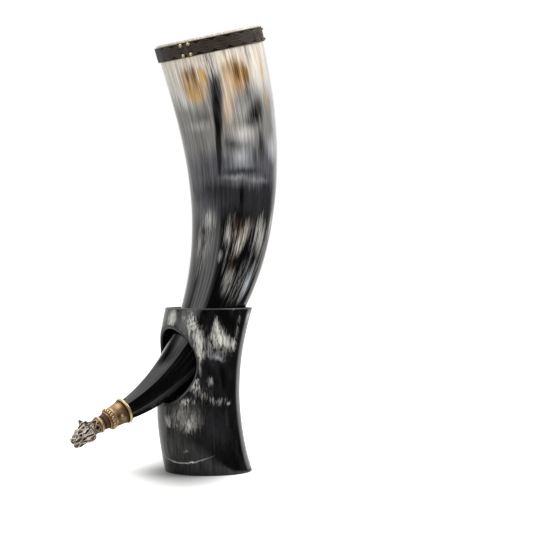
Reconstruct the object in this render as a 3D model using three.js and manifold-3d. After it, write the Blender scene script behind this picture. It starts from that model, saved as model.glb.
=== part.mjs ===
// Drinking horn in its stand: a curved horn cup with a tacked leather band round its rim and a cast
// tip fitting that ends in an animal's head, held up by a hollow section of horn with a hole in its
// side for the tip. Millimetres, +Z up, the tip towards -X. The origin is under the middle of the
// whole object, on the surface that it stands on.
import * as THREE from "three";
import { mergeVertices } from "three/addons/utils/BufferGeometryUtils.js";
import Module from "manifold-3d";

const wasm = await Module();
wasm.setup();

const degrees = THREE.MathUtils.degToRad;

// Clearance between pieces that rest on or fit into each other
const SEAT_GAP = 0.3;

// Horn cup: its leans are from straight down, and grow towards the tip's side
const HORN_LENGTH = 367; // along the centreline, from the mouth to the ferrule's lip
const MOUTH_RADIUS = 45.8;
const TIP_RADIUS = 9; // where the horn enters the ferrule
const TAPER_POWER = 1.55; // 1 is a plain cone, and more keeps the upper horn full
const MOUTH_LEAN = degrees(-18.6);
const TIP_LEAN = degrees(66.5);
const BEND_POWER = 1.56; // 1 bends evenly, and more keeps the upper horn straighter
const MOUTH_SLANT = degrees(4); // the mouth is cut higher on the tip's side
const SLANT_LENGTH = 150; // where the slant has died away
const MOUTH_WALL = 4;
const FLOOR_WALL = 7; // beside the bottom of the hollow
const CAVITY_DEPTH = 268;
const CAVITY_DOME = 16; // height of the hollow's rounded bottom
const RIM_ROUND = 1.6;
const TENON_LENGTH = 12; // the horn's end inside the ferrule
const TENON_END_RADIUS = 7.3;

// Stand: a tube of horn, bowed towards the tip's side, waisted, and cut flat at both ends
const STAND_HEIGHT = 142;
const STAND_WALL = 4.2;
const STAND_BOW = 11.5;
const STAND_WAIST = 1.6; // how much narrower it is at half height
const STAND_EDGE = 1.2;
const STAND_PLAY = 4.6; // room round the horn in the stand's mouth
const SUNK_LENGTH = 124; // horn below the stand's mouth, down to the ferrule's lip
const HOLE_HEADROOM = 12; // above the horn, where it passes through the bore's wall
const HOLE_SIDE_ROOM = 10.5;

// Rim band: leather strips butted end to end
const BAND_STRIPS = 3;
const BAND_DROP = 1.8; // bare horn above the band
const BAND_HEIGHT = 13;
const BAND_THICKNESS = 1.4;
const BUTT_GAP = 0.5;
const FIRST_SEAM = degrees(-30.5); // round from the tip's side, positive towards +Y

// Rim tacks: dome heads in pairs on both sides of each seam
const TACK_HEAD_RADIUS = 1.5;
const TACK_HEAD_HEIGHT = 1;
const TACK_SHANK_RADIUS = 0.6;
const TACK_POINT = 0.8;
const TACK_BITE = 2.2; // into the horn
const TACK_FROM_SEAM = 3.5;
const TACK_FROM_EDGE = 2.1;

// Tip fitting: castings threaded on a stud, listed from the horn outwards
const FERRULE_WALL = 1.3;
const FERRULE_LENGTH = 15;
const LIP_RADIUS = 11.4;
const LIP_WIDTH = 2.2;
const PIN_HEAD_RADIUS = 1.1;
const PIN_HEAD_HEIGHT = 0.7;
const PIN_SHANK_RADIUS = 0.55;
const PIN_POINT = 0.8;
const PIN_BITE = 3; // into the horn
const PIN_FROM_LIP = 9;
const ROPE_RADIUS = 8.3; // to the middle of the rope
const ROPE_THICKNESS = 3;
const ROPE_TURNS = 22; // beads round the ring
const ROPE_GROOVE = 0.35;
const NECK_TOP_RADIUS = 7.5;
const NECK_END_RADIUS = 6.2;
const NECK_WAIST_RADIUS = 6.1;
const NECK_LENGTH = 7.2;
const NECK_RING_RADIUS = 7.3;
const NECK_RING_WIDTH = 2.4;
const SPIGOT_WALL = 2.4; // ring seats on the sleeve's end, outside the stud's bore
const COLLAR_RADIUS = 6.6;
const COLLAR_WAIST_RADIUS = 6;
const COLLAR_LENGTH = 6.2;
const STUD_RADIUS = 2;
const STUD_IN_HORN = 24; // from the ferrule's lip into the horn's solid tip
const STUD_IN_HEAD = 8;

// Animal's head, from its back: lengths along the fitting, heights above its axis
const SKULL_REACH = 12.5; // its back end is cut off flat
const SKULL_LENGTH = 17;
const SKULL_HEIGHT = 16.5;
const SKULL_WIDTH = 14.4;
const MUZZLE_REACH = 22; // from the head's back to the nose
const MUZZLE_LENGTH = 14;
const MUZZLE_HEIGHT = 5.2;
const MUZZLE_WIDTH = 7.4;
const MUZZLE_RISE = 2.1;
const JAW_REACH = 21;
const JAW_LENGTH = 14;
const JAW_HEIGHT = 4.8;
const JAW_WIDTH = 6.6;
const JAW_DROP = 2.5;
const CHEEK_REACH = 8.6;
const CHEEK_LENGTH = 8.4;
const CHEEK_HEIGHT = 8;
const CHEEK_WIDTH = 7;
const CHEEK_DROP = 4.3;
const CHEEK_SPREAD = 3.7;
const BROW_REACH = 12.2;
const BROW_LENGTH = 5;
const BROW_HEIGHT = 4.6;
const BROW_WIDTH = 4.4;
const BROW_RISE = 4.9;
const BROW_SPREAD = 3.1;
const EAR_LENGTH = 6.7;
const EAR_RADIUS = 3.4;
const EAR_FROM_BACK = 2.6;
const EAR_ROOT_RISE = 4.4;
const EAR_SPREAD = 4;
const EAR_SPLAY = degrees(14);
const EAR_LEAN = degrees(5); // towards the nose
const HEAD_NOD = degrees(10); // the nose dips below the fitting's axis

// Fineness of the round shapes
const HORN_SIDES = 36;
const HORN_RINGS = 24;
const CAVITY_RINGS = 12;
const STAND_SIDES = 44;
const STAND_RINGS = 12;
const CAST_SIDES = 24;
const TACK_SIDES = 8;
const ROUND_STEPS = 3;
const CURVE_STEPS = 240;

// Materials
const hornFinish = { roughness: 0.18, metalness: 0 };
const paleHorn = new THREE.MeshStandardMaterial({ color: 0x6f6a66, ...hornFinish });
const darkHorn = new THREE.MeshStandardMaterial({ color: 0x1b1a1b, ...hornFinish });
const leather = new THREE.MeshStandardMaterial({ color: 0x2a2523, roughness: 0.6, metalness: 0 });
const brass = new THREE.MeshStandardMaterial({ color: 0xa8895a, roughness: 0.35, metalness: 1 });
const silver = new THREE.MeshStandardMaterial({ color: 0x9a8f83, roughness: 0.4, metalness: 1 });
const steel = new THREE.MeshStandardMaterial({ color: 0x8c8f92, roughness: 0.4, metalness: 1 });

function addPiece(name, geometry, material, parent) {
  const piece = new THREE.Mesh(geometry, material.clone());
  piece.name = name;
  parent.add(piece);
  return piece;
}

// Booleans
function solidOf(geometry) {
  const bare = geometry.clone();
  bare.deleteAttribute("normal");
  bare.deleteAttribute("uv");
  const merged = mergeVertices(bare);
  const vertProperties = new Float32Array(merged.attributes.position.array);
  const triVerts = new Uint32Array(merged.index.array);
  return new wasm.Manifold(new wasm.Mesh({ numProp: 3, vertProperties, triVerts }));
}

function geometryOf(solid) {
  const mesh = solid.getMesh();
  const geometry = new THREE.BufferGeometry();
  geometry.setAttribute("position", new THREE.BufferAttribute(mesh.vertProperties, 3));
  geometry.setIndex(new THREE.BufferAttribute(mesh.triVerts, 1));
  geometry.computeVertexNormals();
  return geometry;
}

function cut(geometry, tools) {
  let solid = solidOf(geometry);
  for (const tool of tools) solid = solid.subtract(solidOf(tool));
  return geometryOf(solid);
}

function join(geometries) {
  let solid = solidOf(geometries[0]);
  for (const geometry of geometries.slice(1)) solid = solid.add(solidOf(geometry));
  return geometryOf(solid);
}

function turned(path, sides) {
  return new THREE.LatheGeometry(path.getPoints(ROUND_STEPS), sides);
}

// The horn's centreline, a flat curve with its mouth at the start of its own frame
function lean(share) {
  return MOUTH_LEAN + (TIP_LEAN - MOUTH_LEAN) * share ** BEND_POWER;
}

const stride = HORN_LENGTH / CURVE_STEPS;
const centreline = [new THREE.Vector3()];
for (let step = 0; step < CURVE_STEPS; step++) {
  const angle = lean((step + 0.5) / CURVE_STEPS);
  const move = new THREE.Vector3(-Math.sin(angle), 0, -Math.cos(angle));
  centreline.push(centreline[step].clone().addScaledVector(move, stride));
}

// A place on the curve and the directions there, running straight on past the tip's end
function hornFrame(along) {
  const inside = THREE.MathUtils.clamp(along, 0, HORN_LENGTH);
  const step = Math.min(Math.floor(inside / stride), CURVE_STEPS - 1);
  const angle = lean(inside / HORN_LENGTH);
  const onward = new THREE.Vector3(-Math.sin(angle), 0, -Math.cos(angle));
  const tipSide = new THREE.Vector3(-Math.cos(angle), 0, Math.sin(angle));
  const origin = centreline[step].clone().lerp(centreline[step + 1], inside / stride - step);
  origin.addScaledVector(onward, along - inside);
  return { origin, onward, tipSide };
}

function hornRadius(along) {
  const share = THREE.MathUtils.clamp(along / HORN_LENGTH, 0, 1);
  return TIP_RADIUS + (MOUTH_RADIUS - TIP_RADIUS) * (1 - share ** TAPER_POWER);
}

function outwardOn(along, angle) {
  const outward = hornFrame(along).tipSide.multiplyScalar(Math.cos(angle));
  outward.y += Math.sin(angle);
  return outward;
}

// A point round the horn, drawn up or down the curve near the mouth by its slant
function pointOn(along, angle, radius) {
  const slant = Math.tan(MOUTH_SLANT) * Math.max(0, 1 - along / SLANT_LENGTH);
  const drawn = along - slant * radius * Math.cos(angle);
  return hornFrame(drawn).origin.addScaledVector(outwardOn(drawn, angle), radius);
}

// Where the horn's outline on one side first passes what the test measures down to zero
const TIP_SIDE = 0;
const BACK_SIDE = Math.PI;
function outlineCrossing(side, start, test) {
  let before = pointOn(start, side, hornRadius(start));
  for (let along = start + stride; along <= HORN_LENGTH; along += stride) {
    const after = pointOn(along, side, hornRadius(along));
    if (test(after) <= 0) {
      return before.lerp(after, test(before) / (test(before) - test(after)));
    }
    before = after;
  }
  return before;
}

// The stand's mouth is the horn's width there and some play, and the horn leans on its back edge
const seatAlong = HORN_LENGTH - SUNK_LENGTH;
const lift = STAND_HEIGHT - hornFrame(seatAlong).origin.z;
for (const point of centreline) point.z += lift;
const aboveMouth = (point) => point.z - STAND_HEIGHT;
const backTouch = outlineCrossing(BACK_SIDE, 0, aboveMouth);
const frontTouch = outlineCrossing(TIP_SIDE, 0, aboveMouth);
const standBore = (backTouch.x - frontTouch.x) / 2 + STAND_PLAY;
const push = standBore - SEAT_GAP - backTouch.x;
for (const point of centreline) point.x += push;

// How far the stand's shape at a height is from its shape at its ends: 0 there, 1 half way up
function belly(height) {
  return 1 - (2 * height / STAND_HEIGHT - 1) ** 2;
}

function standLeft(height, radius) {
  return -STAND_BOW * belly(height) - (radius - STAND_WAIST * belly(height));
}

function standTube() {
  const outer = standBore + STAND_WALL;
  const profile = [];
  const edge = STAND_EDGE;
  const wall = (radius, from, to) => {
    for (let ring = 0; ring <= STAND_RINGS; ring++) {
      profile.push(new THREE.Vector2(radius, from + (to - from) * ring / STAND_RINGS));
    }
  };
  profile.push(new THREE.Vector2(outer - edge, 0));
  wall(outer, edge, STAND_HEIGHT - edge);
  profile.push(new THREE.Vector2(outer - edge, STAND_HEIGHT));
  profile.push(new THREE.Vector2(standBore + edge, STAND_HEIGHT));
  wall(standBore, STAND_HEIGHT - edge, edge);
  profile.push(new THREE.Vector2(standBore + edge, 0));
  profile.push(profile[0].clone());
  const tube = new THREE.LatheGeometry(profile, STAND_SIDES);
  tube.rotateX(Math.PI / 2);
  const place = tube.attributes.position;
  for (let i = 0; i < place.count; i++) {
    const height = place.getZ(i);
    const radius = Math.hypot(place.getX(i), place.getY(i));
    const waisted = 1 - STAND_WAIST * belly(height) / radius;
    place.setX(i, place.getX(i) * waisted - STAND_BOW * belly(height));
    place.setY(i, place.getY(i) * waisted);
  }
  return tube;
}

// The oval hole: the horn rests on its lower edge, with room above and beside it
function standHole() {
  const outer = standBore + STAND_WALL;
  const leaves = outlineCrossing(BACK_SIDE, seatAlong, (p) => p.x - standLeft(p.z, outer));
  const enters = outlineCrossing(TIP_SIDE, seatAlong, (p) => p.x - standLeft(p.z, standBore));
  const bottom = leaves.z - SEAT_GAP;
  const top = enters.z + HOLE_HEADROOM;
  const widest = hornRadius(HORN_LENGTH - SUNK_LENGTH / 2);
  const reach = STAND_BOW + outer;
  const tool = new THREE.CylinderGeometry(1, 1, reach, STAND_SIDES);
  tool.rotateZ(Math.PI / 2);
  tool.scale(1, widest + HOLE_SIDE_ROOM, (top - bottom) / 2);
  tool.translate(-STAND_BOW - reach / 2, 0, (top + bottom) / 2);
  return tool;
}

// Bends a shape made round a straight upright axis, with the mouth at 0, onto the horn's curve
function bendOntoHorn(geometry) {
  const place = geometry.attributes.position;
  for (let i = 0; i < place.count; i++) {
    const angle = Math.atan2(place.getZ(i), place.getX(i));
    const radius = Math.hypot(place.getX(i), place.getZ(i));
    const point = pointOn(-place.getY(i), angle, radius);
    place.setXYZ(i, point.x, point.y, point.z);
  }
  return geometry;
}

function cavityRadius(along) {
  const wall = MOUTH_WALL + (FLOOR_WALL - MOUTH_WALL) * along / CAVITY_DEPTH;
  const intoDome = Math.max(0, along - (CAVITY_DEPTH - CAVITY_DOME)) / CAVITY_DOME;
  return (hornRadius(along) - wall) * Math.sqrt(1 - intoDome ** 2);
}

function hornShell() {
  const profile = [];
  const add = (radius, along) => profile.push(new THREE.Vector2(radius, -along));
  add(0, HORN_LENGTH + TENON_LENGTH);
  add(TENON_END_RADIUS, HORN_LENGTH + TENON_LENGTH);
  for (let ring = 0; ring <= HORN_RINGS; ring++) {
    const along = HORN_LENGTH + (RIM_ROUND - HORN_LENGTH) * ring / HORN_RINGS;
    add(hornRadius(along), along);
  }
  const rimMiddle = MOUTH_RADIUS - MOUTH_WALL / 2;
  const halfFlat = MOUTH_WALL / 2 - RIM_ROUND;
  for (let step = 1; step < 2 * ROUND_STEPS; step++) {
    const angle = Math.PI * step / (2 * ROUND_STEPS);
    const across = Math.cos(angle);
    add(rimMiddle + RIM_ROUND * across + Math.sign(across) * halfFlat, RIM_ROUND * (1 - Math.sin(angle)));
  }
  const domeTop = CAVITY_DEPTH - CAVITY_DOME;
  for (let ring = 0; ring <= CAVITY_RINGS; ring++) {
    const along = RIM_ROUND + (domeTop - RIM_ROUND) * ring / CAVITY_RINGS;
    add(cavityRadius(along), along);
  }
  for (let step = 1; step <= ROUND_STEPS; step++) {
    const along = domeTop + CAVITY_DOME * Math.sin(Math.PI / 2 * step / ROUND_STEPS);
    add(step < ROUND_STEPS ? cavityRadius(along) : 0, along);
  }
  return bendOntoHorn(new THREE.LatheGeometry(profile, HORN_SIDES));
}

// One leather strip, bent round the horn below its rim
function rimStrip(index) {
  const bandRadius = MOUTH_RADIUS + SEAT_GAP + BAND_THICKNESS / 2;
  const turn = 2 * Math.PI / BAND_STRIPS;
  const length = bandRadius * turn - BUTT_GAP;
  const sides = Math.round(HORN_SIDES / BAND_STRIPS);
  const strip = new THREE.BoxGeometry(length, BAND_HEIGHT, BAND_THICKNESS, sides, 2, 1);
  const place = strip.attributes.position;
  for (let i = 0; i < place.count; i++) {
    const angle = FIRST_SEAM + (index + 0.5) * turn - place.getX(i) / bandRadius;
    const along = BAND_DROP + BAND_HEIGHT / 2 - place.getY(i);
    const radius = hornRadius(along) + SEAT_GAP + BAND_THICKNESS / 2 + place.getZ(i);
    const point = pointOn(along, angle, radius);
    place.setXYZ(i, point.x, point.y, point.z);
  }
  return strip;
}

// Where each tack goes: its Y axis points out of the horn, from the underside of its head
const tackShank = SEAT_GAP + BAND_THICKNESS + SEAT_GAP + TACK_BITE;
function tackPlaces() {
  const places = [];
  const headSeat = SEAT_GAP + BAND_THICKNESS + SEAT_GAP;
  for (let seam = 0; seam < BAND_STRIPS; seam++) {
    for (const side of [-1, 1]) {
      for (const fromTop of [TACK_FROM_EDGE, BAND_HEIGHT - TACK_FROM_EDGE]) {
        const along = BAND_DROP + fromTop;
        const aside = side * TACK_FROM_SEAM / hornRadius(along);
        const angle = FIRST_SEAM + seam * 2 * Math.PI / BAND_STRIPS + aside;
        const up = hornFrame(along).onward.negate();
        const outward = outwardOn(along, angle);
        const across = up.clone().cross(outward);
        const place = new THREE.Matrix4().makeBasis(up, outward, across);
        place.setPosition(pointOn(along, angle, hornRadius(along) + headSeat));
        places.push(place);
      }
    }
  }
  return places;
}

// A dome-headed nail on the Y axis, the underside of its head at 0
function nail(headRadius, headHeight, shankRadius, shankLength, point) {
  const path = new THREE.Path();
  path.moveTo(0, -shankLength);
  path.lineTo(shankRadius, point - shankLength);
  path.lineTo(shankRadius, 0);
  path.lineTo(headRadius, 0);
  path.absellipse(0, 0, headRadius, headHeight, 0, Math.PI / 2, false, 0);
  return turned(path, TACK_SIDES);
}

// A round hole for a nail's shank, from above its head down past its point
function nailHole(shankRadius, shankLength, place) {
  const radius = shankRadius + SEAT_GAP;
  const depth = shankLength + SEAT_GAP;
  const hole = new THREE.CylinderGeometry(radius, radius, 2 * depth, TACK_SIDES);
  return hole.applyMatrix4(place);
}

// Tip fitting: where each casting starts, along the fitting from the ferrule's lip
const studHole = STUD_RADIUS + SEAT_GAP;
const ropeStart = FERRULE_LENGTH + SEAT_GAP;
const neckStart = ropeStart + ROPE_THICKNESS + SEAT_GAP;
const neckRingStart = neckStart + NECK_LENGTH + SEAT_GAP;
const collarStart = neckRingStart + NECK_RING_WIDTH + SEAT_GAP;
const headStart = collarStart + COLLAR_LENGTH + SEAT_GAP;

function ferruleBody() {
  const socketMouth = TIP_RADIUS + SEAT_GAP;
  const socketEnd = TENON_END_RADIUS + SEAT_GAP;
  const socketFloor = TENON_LENGTH + SEAT_GAP;
  const cupMouth = socketMouth + FERRULE_WALL;
  const cupEnd = socketEnd + FERRULE_WALL;
  const lipRound = LIP_WIDTH / 2;
  const spigot = ROPE_RADIUS - ROPE_THICKNESS / 2 - SEAT_GAP;
  const path = new THREE.Path();
  path.moveTo(socketMouth, 0);
  path.lineTo(LIP_RADIUS - lipRound, 0);
  path.absarc(LIP_RADIUS - lipRound, lipRound, lipRound, -Math.PI / 2, Math.PI / 2, false);
  path.lineTo(cupMouth, LIP_WIDTH);
  path.quadraticCurveTo(cupEnd, FERRULE_LENGTH / 2, cupEnd, FERRULE_LENGTH);
  path.lineTo(spigot, FERRULE_LENGTH);
  path.lineTo(spigot, neckStart - SEAT_GAP);
  path.lineTo(studHole, neckStart - SEAT_GAP);
  path.lineTo(studHole, socketFloor);
  path.lineTo(socketEnd, socketFloor);
  path.lineTo(socketMouth, 0);
  return turned(path, CAST_SIDES);
}

// The pins go through the ferrule's two sides, square to the horn's plane
const pinAcross = TIP_RADIUS + (TENON_END_RADIUS - TIP_RADIUS) * PIN_FROM_LIP / TENON_LENGTH;
const pinShank = SEAT_GAP + FERRULE_WALL + SEAT_GAP + PIN_BITE;
function pinPlace(side) {
  const place = new THREE.Matrix4().makeRotationX(side * Math.PI / 2);
  return place.setPosition(0, PIN_FROM_LIP, side * (pinAcross + pinShank - PIN_BITE));
}

function ropeTorus() {
  const steps = 3 * ROPE_TURNS;
  const torus = new THREE.TorusGeometry(ROPE_RADIUS, ROPE_THICKNESS / 2, 2 * ROUND_STEPS, steps);
  const place = torus.attributes.position;
  const middle = new THREE.Vector3();
  const point = new THREE.Vector3();
  for (let i = 0; i < place.count; i++) {
    point.fromBufferAttribute(place, i);
    const angle = Math.atan2(point.y, point.x);
    middle.set(Math.cos(angle), Math.sin(angle), 0).multiplyScalar(ROPE_RADIUS);
    const groove = ROPE_GROOVE * (1 - Math.cos(ROPE_TURNS * angle)) / 2;
    point.lerp(middle, groove / (ROPE_THICKNESS / 2));
    place.setXYZ(i, point.x, point.y, point.z);
  }
  torus.rotateX(Math.PI / 2);
  return torus.translate(0, ropeStart + ROPE_THICKNESS / 2, 0);
}

const neckSpigot = studHole + SPIGOT_WALL;
function neckBody() {
  const end = neckStart + NECK_LENGTH;
  const path = new THREE.Path();
  path.moveTo(studHole, neckStart);
  path.lineTo(NECK_TOP_RADIUS, neckStart);
  path.quadraticCurveTo(NECK_WAIST_RADIUS, neckStart + NECK_LENGTH / 2, NECK_END_RADIUS, end);
  path.lineTo(neckSpigot, end);
  path.lineTo(neckSpigot, collarStart - SEAT_GAP);
  path.lineTo(studHole, collarStart - SEAT_GAP);
  path.lineTo(studHole, neckStart);
  return turned(path, CAST_SIDES);
}

function neckRingBody() {
  const inside = neckSpigot + SEAT_GAP;
  const round = NECK_RING_WIDTH / 2;
  const middle = NECK_RING_RADIUS - round;
  const path = new THREE.Path();
  path.moveTo(inside, neckRingStart);
  path.lineTo(middle, neckRingStart);
  path.absarc(middle, neckRingStart + round, round, -Math.PI / 2, Math.PI / 2, false);
  path.lineTo(inside, neckRingStart + NECK_RING_WIDTH);
  path.lineTo(inside, neckRingStart);
  return turned(path, CAST_SIDES);
}

function collarBody() {
  const end = collarStart + COLLAR_LENGTH;
  const path = new THREE.Path();
  path.moveTo(studHole, collarStart);
  path.lineTo(COLLAR_RADIUS, collarStart);
  path.quadraticCurveTo(COLLAR_WAIST_RADIUS, (collarStart + end) / 2, COLLAR_RADIUS, end);
  path.lineTo(studHole, end);
  path.lineTo(studHole, collarStart);
  return turned(path, CAST_SIDES);
}

// Animal's head: X is up from the fitting's axis, Y runs to the nose, Z is across
function ball(length, height, width, nose, rise, aside) {
  const shape = new THREE.SphereGeometry(0.5, CAST_SIDES / 2, CAST_SIDES / 2);
  shape.scale(height, length, width);
  return shape.translate(rise, headStart + nose - length / 2, aside);
}

function bluntBar(length, height, width, nose, rise) {
  const shape = new THREE.CapsuleGeometry(height / 2, length - height, ROUND_STEPS, CAST_SIDES / 2);
  shape.scale(1, 1, width / height);
  return shape.translate(rise, headStart + nose - length / 2, 0);
}

function ear(side) {
  const shape = new THREE.ConeGeometry(EAR_RADIUS, EAR_LENGTH, TACK_SIDES);
  shape.translate(0, EAR_LENGTH / 2, 0);
  shape.rotateZ(EAR_LEAN - Math.PI / 2);
  shape.rotateY(-side * EAR_SPLAY);
  return shape.translate(EAR_ROOT_RISE, headStart + EAR_FROM_BACK, side * EAR_SPREAD);
}

function headBody() {
  const forms = [
    ball(SKULL_LENGTH, SKULL_HEIGHT, SKULL_WIDTH, SKULL_REACH, 0, 0),
    bluntBar(MUZZLE_LENGTH, MUZZLE_HEIGHT, MUZZLE_WIDTH, MUZZLE_REACH, MUZZLE_RISE),
    bluntBar(JAW_LENGTH, JAW_HEIGHT, JAW_WIDTH, JAW_REACH, -JAW_DROP),
  ];
  for (const side of [-1, 1]) {
    const cheekAside = side * CHEEK_SPREAD;
    const browAside = side * BROW_SPREAD;
    forms.push(ball(CHEEK_LENGTH, CHEEK_HEIGHT, CHEEK_WIDTH, CHEEK_REACH, -CHEEK_DROP, cheekAside));
    forms.push(ball(BROW_LENGTH, BROW_HEIGHT, BROW_WIDTH, BROW_REACH, BROW_RISE, browAside));
    forms.push(ear(side));
  }
  const head = join(forms);
  head.translate(0, -headStart, 0);
  head.rotateZ(HEAD_NOD);
  head.translate(0, headStart, 0);
  const bore = STUD_IN_HEAD + SEAT_GAP;
  const hole = new THREE.CylinderGeometry(studHole, studHole, 2 * bore, TACK_SIDES);
  const flatBack = new THREE.CylinderGeometry(SKULL_HEIGHT, SKULL_HEIGHT, SKULL_LENGTH, CAST_SIDES);
  flatBack.translate(0, headStart - SKULL_LENGTH / 2, 0);
  return cut(head, [hole.translate(0, headStart, 0), flatBack]);
}

function studBody() {
  const length = STUD_IN_HORN + headStart + STUD_IN_HEAD;
  const stud = new THREE.CylinderGeometry(STUD_RADIUS, STUD_RADIUS, length, TACK_SIDES);
  return stud.translate(0, length / 2 - STUD_IN_HORN, 0);
}

// The stud's hole in the horn's solid tip, in the fitting's frame
function studBore() {
  const depth = STUD_IN_HORN + SEAT_GAP + TENON_LENGTH;
  const hole = new THREE.CylinderGeometry(studHole, studHole, 2 * depth, TACK_SIDES);
  return hole.translate(0, TENON_LENGTH, 0);
}

// Assembly
const drinkingHorn = new THREE.Group();
const assembly = new THREE.Group();
drinkingHorn.add(assembly);

addPiece("horn_stand", cut(standTube(), [standHole()]), darkHorn, assembly);

const tip = new THREE.Group();
const tipFrame = hornFrame(HORN_LENGTH);
const tipAcross = tipFrame.tipSide.clone().cross(tipFrame.onward);
const tipPlace = new THREE.Matrix4().makeBasis(tipFrame.tipSide, tipFrame.onward, tipAcross);
tipPlace.setPosition(tipFrame.origin);
tip.applyMatrix4(tipPlace);
assembly.add(tip);

const tackSpots = tackPlaces();
const tackHoles = tackSpots.map((place) => nailHole(TACK_SHANK_RADIUS, tackShank, place));
const pinSpots = [-1, 1].map(pinPlace);
const pinHoles = pinSpots.map((place) => nailHole(PIN_SHANK_RADIUS, pinShank, place));
const tipHoles = [studBore(), ...pinHoles].map((hole) => hole.clone().applyMatrix4(tipPlace));
addPiece("horn_cup", cut(hornShell(), [...tackHoles, ...tipHoles]), paleHorn, assembly);

for (let index = 0; index < BAND_STRIPS; index++) {
  addPiece(`rim_strip_${index + 1}`, cut(rimStrip(index), tackHoles), leather, assembly);
}
tackSpots.forEach((place, index) => {
  const tack = nail(TACK_HEAD_RADIUS, TACK_HEAD_HEIGHT, TACK_SHANK_RADIUS, tackShank, TACK_POINT);
  addPiece(`rim_tack_${index + 1}`, tack, brass, assembly).applyMatrix4(place);
});

addPiece("tip_ferrule", cut(ferruleBody(), pinHoles), brass, tip);
pinSpots.forEach((place, index) => {
  const pin = nail(PIN_HEAD_RADIUS, PIN_HEAD_HEIGHT, PIN_SHANK_RADIUS, pinShank, PIN_POINT);
  addPiece(`ferrule_pin_${index + 1}`, pin, brass, tip).applyMatrix4(place);
});
addPiece("rope_ring", ropeTorus(), brass, tip);
addPiece("neck_sleeve", neckBody(), brass, tip);
addPiece("neck_ring", neckRingBody(), brass, tip);
addPiece("knot_collar", collarBody(), silver, tip);
addPiece("beast_head", headBody(), silver, tip);
addPiece("finial_stud", studBody(), steel, tip);

const box = new THREE.Box3().setFromObject(drinkingHorn, true);
assembly.position.set(-(box.min.x + box.max.x) / 2, -(box.min.y + box.max.y) / 2, -box.min.z);

export default drinkingHorn;
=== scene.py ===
"""Drinking horn in its stand: the polished horn, its tacked rim band, its cast tip fitting and the stand.

Metres, +Z up, the tip towards -X. Every piece is made where its CAD solid is, and rides on that body.
"""

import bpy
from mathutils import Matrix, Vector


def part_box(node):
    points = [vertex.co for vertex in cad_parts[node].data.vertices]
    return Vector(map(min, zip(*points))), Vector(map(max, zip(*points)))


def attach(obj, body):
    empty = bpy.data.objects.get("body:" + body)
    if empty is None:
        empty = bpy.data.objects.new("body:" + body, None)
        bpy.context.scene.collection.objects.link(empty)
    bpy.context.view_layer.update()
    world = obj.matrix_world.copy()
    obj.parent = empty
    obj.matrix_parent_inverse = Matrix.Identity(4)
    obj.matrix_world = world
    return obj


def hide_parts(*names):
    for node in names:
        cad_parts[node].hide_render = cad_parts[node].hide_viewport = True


bl_info = {
    "name": "Drinking Horn",
    "version": (1, 0, 0),
    "blender": (4, 5, 0),
    "location": "3D View > Sidebar > Drinking Horn",
    "description": "Models a polished drinking horn with its rim band, tip fitting and stand",
    "category": "Add Mesh",
}

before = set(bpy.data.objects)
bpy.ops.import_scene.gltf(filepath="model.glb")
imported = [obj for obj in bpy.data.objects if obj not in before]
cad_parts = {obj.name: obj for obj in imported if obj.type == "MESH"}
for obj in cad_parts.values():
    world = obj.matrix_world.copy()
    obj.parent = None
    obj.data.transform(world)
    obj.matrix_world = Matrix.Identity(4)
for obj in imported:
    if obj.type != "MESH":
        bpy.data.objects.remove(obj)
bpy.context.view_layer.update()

import math

import bmesh
import bpy
from bpy.props import FloatProperty, FloatVectorProperty, IntProperty, PointerProperty
from bpy.types import Operator, Panel, PropertyGroup
from mathutils import Matrix, Vector, noise

MM = 0.001
SEAT_GAP = 0.3 * MM  # between pieces that rest on each other, as in the solids


# Settings


def linear(hex_colour):
    """Turns an sRGB hex colour to the linear RGBA that shaders take."""
    channels = [int(hex_colour[i:i + 2], 16) / 255 for i in (1, 3, 5)]
    return tuple(c / 12.92 if c <= 0.04045 else ((c + 0.055) / 1.055) ** 2.4 for c in channels) + (1.0,)


def size(label, about, millimetres):
    """A length that a user can change."""
    return FloatProperty(name=label, description=about, default=millimetres * MM, unit="LENGTH")


def turn(label, about, degrees):
    """An angle that a user can change."""
    return FloatProperty(name=label, description=about, default=math.radians(degrees), subtype="ANGLE")


def colour(label, about, hex_colour):
    """A colour that a user can change."""
    return FloatVectorProperty(
        name=label, description=about, default=linear(hex_colour), size=4, min=0, max=1, subtype="COLOR")


class HornSettings(PropertyGroup):
    """The horn's sizes, which follow its CAD solid."""

    length: size("Length", "Along the centreline, from the mouth to the ferrule's lip", 367)
    mouth_radius: size("Mouth radius", "Outside the horn's rim", 45.8)
    tip_radius: size("Tip radius", "Where the horn enters the ferrule", 9)
    taper_power: FloatProperty(name="Taper", description="1 is a cone, more is fuller", default=1.55)
    mouth_lean: turn("Mouth lean", "Lean of the centreline at the mouth, from straight down", -18.6)
    tip_lean: turn("Tip lean", "Lean of the centreline at the tip, from straight down", 66.5)
    bend_power: FloatProperty(name="Bend", description="1 bends evenly, more bends the tip", default=1.56)
    mouth_slant: turn("Mouth slant", "How far the mouth is cut out of square", 4)
    slant_length: size("Slant length", "Where the slant has died away", 150)
    sunk_length: size("Sunk length", "Horn below the stand's mouth", 124)
    mouth_wall: size("Wall at mouth", "Wall of the horn at its rim", 4)
    floor_wall: size("Wall at floor", "Wall beside the bottom of the hollow", 7)
    hollow_depth: size("Hollow depth", "From the rim to the bottom of the hollow", 268)
    hollow_dome: size("Hollow dome", "Height of the hollow's rounded bottom", 16)
    rim_round: size("Rim rounding", "Rounding of the rim's edges", 1.6)
    tenon_length: size("Tenon length", "Horn inside the ferrule", 12)
    tenon_radius: size("Tenon radius", "At the end of the tenon", 7.3)
    ripple: size("Ripple", "Unevenness that hand polishing leaves", 0.16)
    facet: FloatProperty(name="Facets", description="How flat the tip's scraped faces are", default=0.7)


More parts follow.
